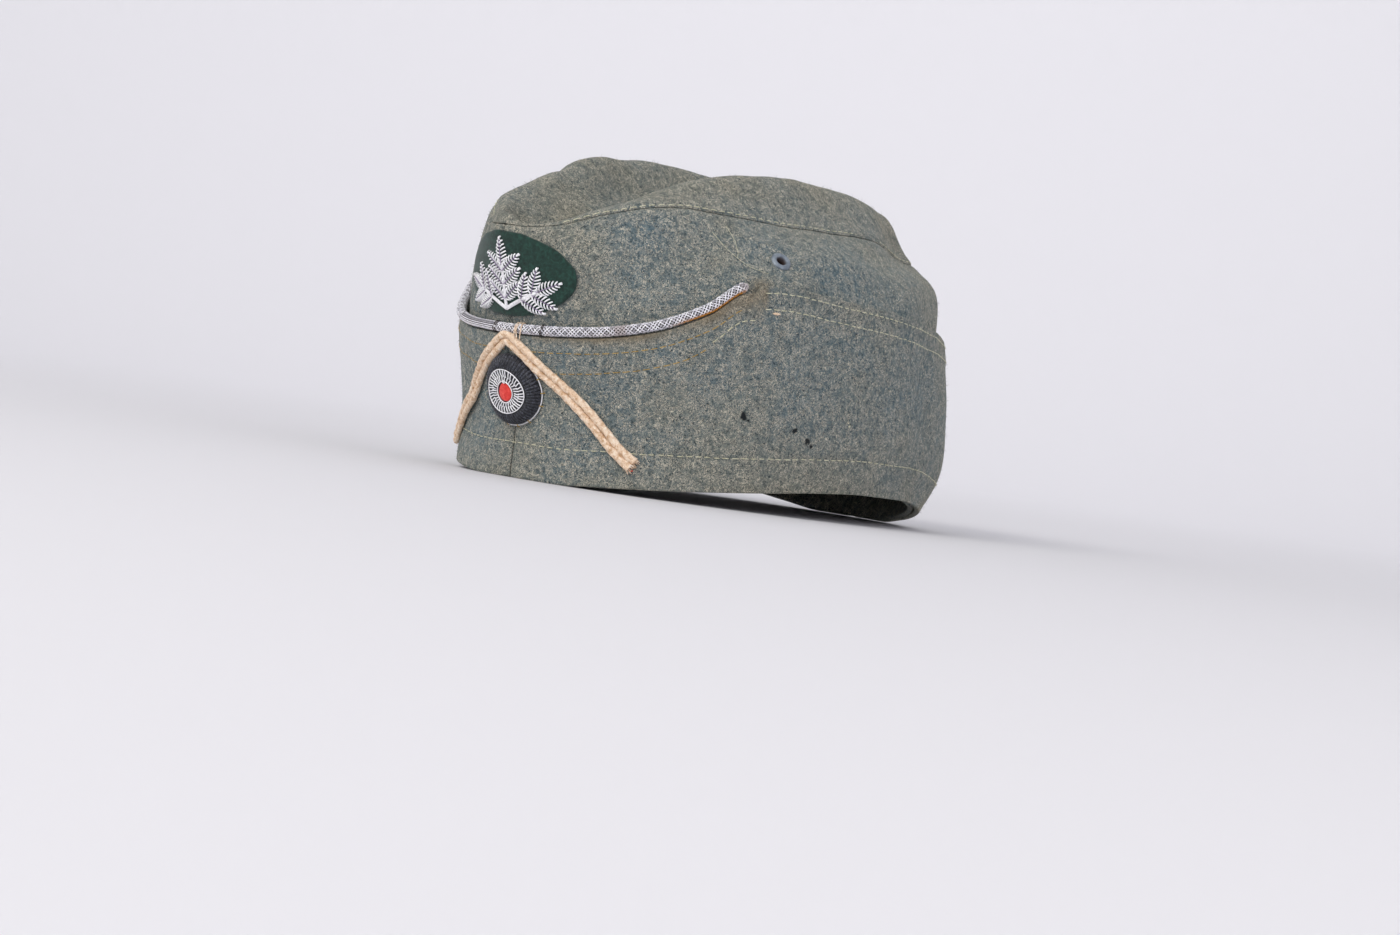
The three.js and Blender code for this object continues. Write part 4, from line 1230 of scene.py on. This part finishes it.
def make_stitches():
    cream, tan = sewn_row(curtain, -180, 180, 0, HEM_ROW, 2.3, 1.4, 900), []
    for side in (-1, 1):
        for cloth, start, end, level, distance, length, gap in (
                (curtain, 61.5, 179.5, EDGE, -1.3, 2.6, 0.8), (curtain, 61.5, 179.5, EDGE, -4.4, 2.6, 0.8),
                (curtain, 50, 61.0, EDGE, -6.4, 2.8, 0.8), (crown, 26, 179, SEAM, 1.2, 2.8, 1.0)):
            cream.extend(sewn_row(cloth, side * start, side * end, level, distance, length, gap))
    for side in (-1, 1):
        for distance, end in ((-4.2, 58), (-6.8, 50)):
            tan.extend(sewn_row(curtain, side * 0.6, side * end, EDGE, distance, 3.0, 0.7))
    belongs(thread_piece("cream_stitches", cream, 0.21, LINEN_THREAD, taper=0.7), "field_wool")
    belongs(thread_piece("tan_stitches", tan, 0.17, TAN_THREAD, taper=0.7), "field_wool")


# LOOSE FIBRES

# Loose threads on the crown and flecks on the curtain, by turn and rise, the flecks with their length in mm
HAIRS = [[(60.2, 5.62), (61.4, 5.38), (62.6, 5.2), (64.5, 4.92), (66.2, 4.66)],
         [(64.6, 5.75), (64.4, 5.5), (63.4, 5.28), (62.9, 5.22)]]
FLECKS = [(64.4, 3.51, 3.2), (85.4, 1.51, 0.8), (84.9, 1.58, 0.6)]


def make_strays():
    """Two hair-like loose threads above the piping's end, and a bit of straw and two flecks in the felt."""
    hairs = []
    for places in HAIRS:
        turn, rise = even_steps(places, 12).T
        arch = 0.25 + 0.5 * np.sin(np.linspace(0, math.pi, 12))
        hairs.append(crown.off(turn, rise, relief(crown, crown.at(turn, rise)) + arch))
    flecks = []
    for turn, rise, size in FLECKS:
        base = curtain.at(turn, rise)
        along = unit(curtain.at(turn + 1, rise) - curtain.at(turn - 1, rise))
        lifted = curtain.outward(turn, rise) * (relief(curtain, base[None])[0] + 0.2)
        flecks.append(base + np.linspace(-0.5, 0.5, 5)[:, None] * size * along + lifted)
    for name, paths, radius, material, taper in (
            ("loose_hairs", hairs, 0.09, LINEN_THREAD, 1.0),
            ("caught_straw", flecks[:1], 0.5, CREAM_COTTON, 0.3),
            ("caught_flecks", flecks[1:], 0.32, LINEN_THREAD, 0.4)):
        belongs(thread_piece(name, paths, radius, material, taper=taper), "field_wool")


# Where the nap grows: the cloth, the rises between, and the number of fibres
NAP = [(curtain, 0.02, 3.9, 4600), (crown, 4.3, 5.95, 2400), (crown, 6.05, 8.6, 3000)]
SPIKE_POINTS = 7


def make_nap():
    """Short stray fibres of the felt, closed three-sided spikes, that soften the cloth's outline."""
    draw = np.random.default_rng(11)
    points, tones = [], []
    spots = [(cloth, draw.uniform(-180, 180, count), draw.uniform(low, high, count))
             for cloth, low, high, count in NAP]
    for cloth, turn, rise in spots:
        count = len(turn)

        def drawn(low, high):
            return draw.uniform(low, high, count)[:, None]

        base = cloth.at(turn, rise)
        outward = cloth.outward(turn, rise)
        base = base + outward * (relief(cloth, base) - 0.15)[:, None]
        loose = draw.normal(size=(count, 3))
        flat = unit(loose - outward * (loose * outward).sum(axis=1, keepdims=True))
        lift, size = drawn(0.25, 0.9), drawn(0.8, 2.1)
        middle = base + (outward * (lift + 0.15) + flat * 0.4) * size * 0.55
        side = np.cross(outward, flat)
        bent = outward * (lift - 0.35) + flat * 0.7 + side * drawn(-0.5, 0.5)
        thick = drawn(0.035, 0.055)
        rings = []
        for centre, share in ((base, 1.0), (middle, 0.8)):
            for angle in (0.0, 2 * math.pi / 3, 4 * math.pi / 3):
                rings.append(centre + (flat * math.cos(angle) + side * math.sin(angle)) * thick * share)
        points.append(np.stack([*rings, middle + bent * size * 0.5], axis=1).reshape(-1, 3))
        tones.append(np.repeat(draw.uniform(0, 1, count) ** 1.5, SPIKE_POINTS))
    points = np.concatenate(points)
    faces = []
    for a in range(0, len(points), SPIKE_POINTS):
        faces.append((a + 2, a + 1, a))
        for k, n in ((0, 1), (1, 2), (2, 0)):
            faces.append((a + k, a + n, a + 3 + n, a + 3 + k))
            faces.append((a + 3 + k, a + 3 + n, a + 6))
    piece = mesh_piece("wool_nap", points, faces, WOOL_FIBRE)
    # Here the stored mark is only a random darker tone for each fibre, not shade
    store(piece, "painted_shade_and_tone", np.concatenate(tones))
    belongs(piece, "field_wool")


make_piping()
make_braid()
make_cockade()
make_badge()
make_eyelets()
make_stitches()
make_strays()
make_nap()
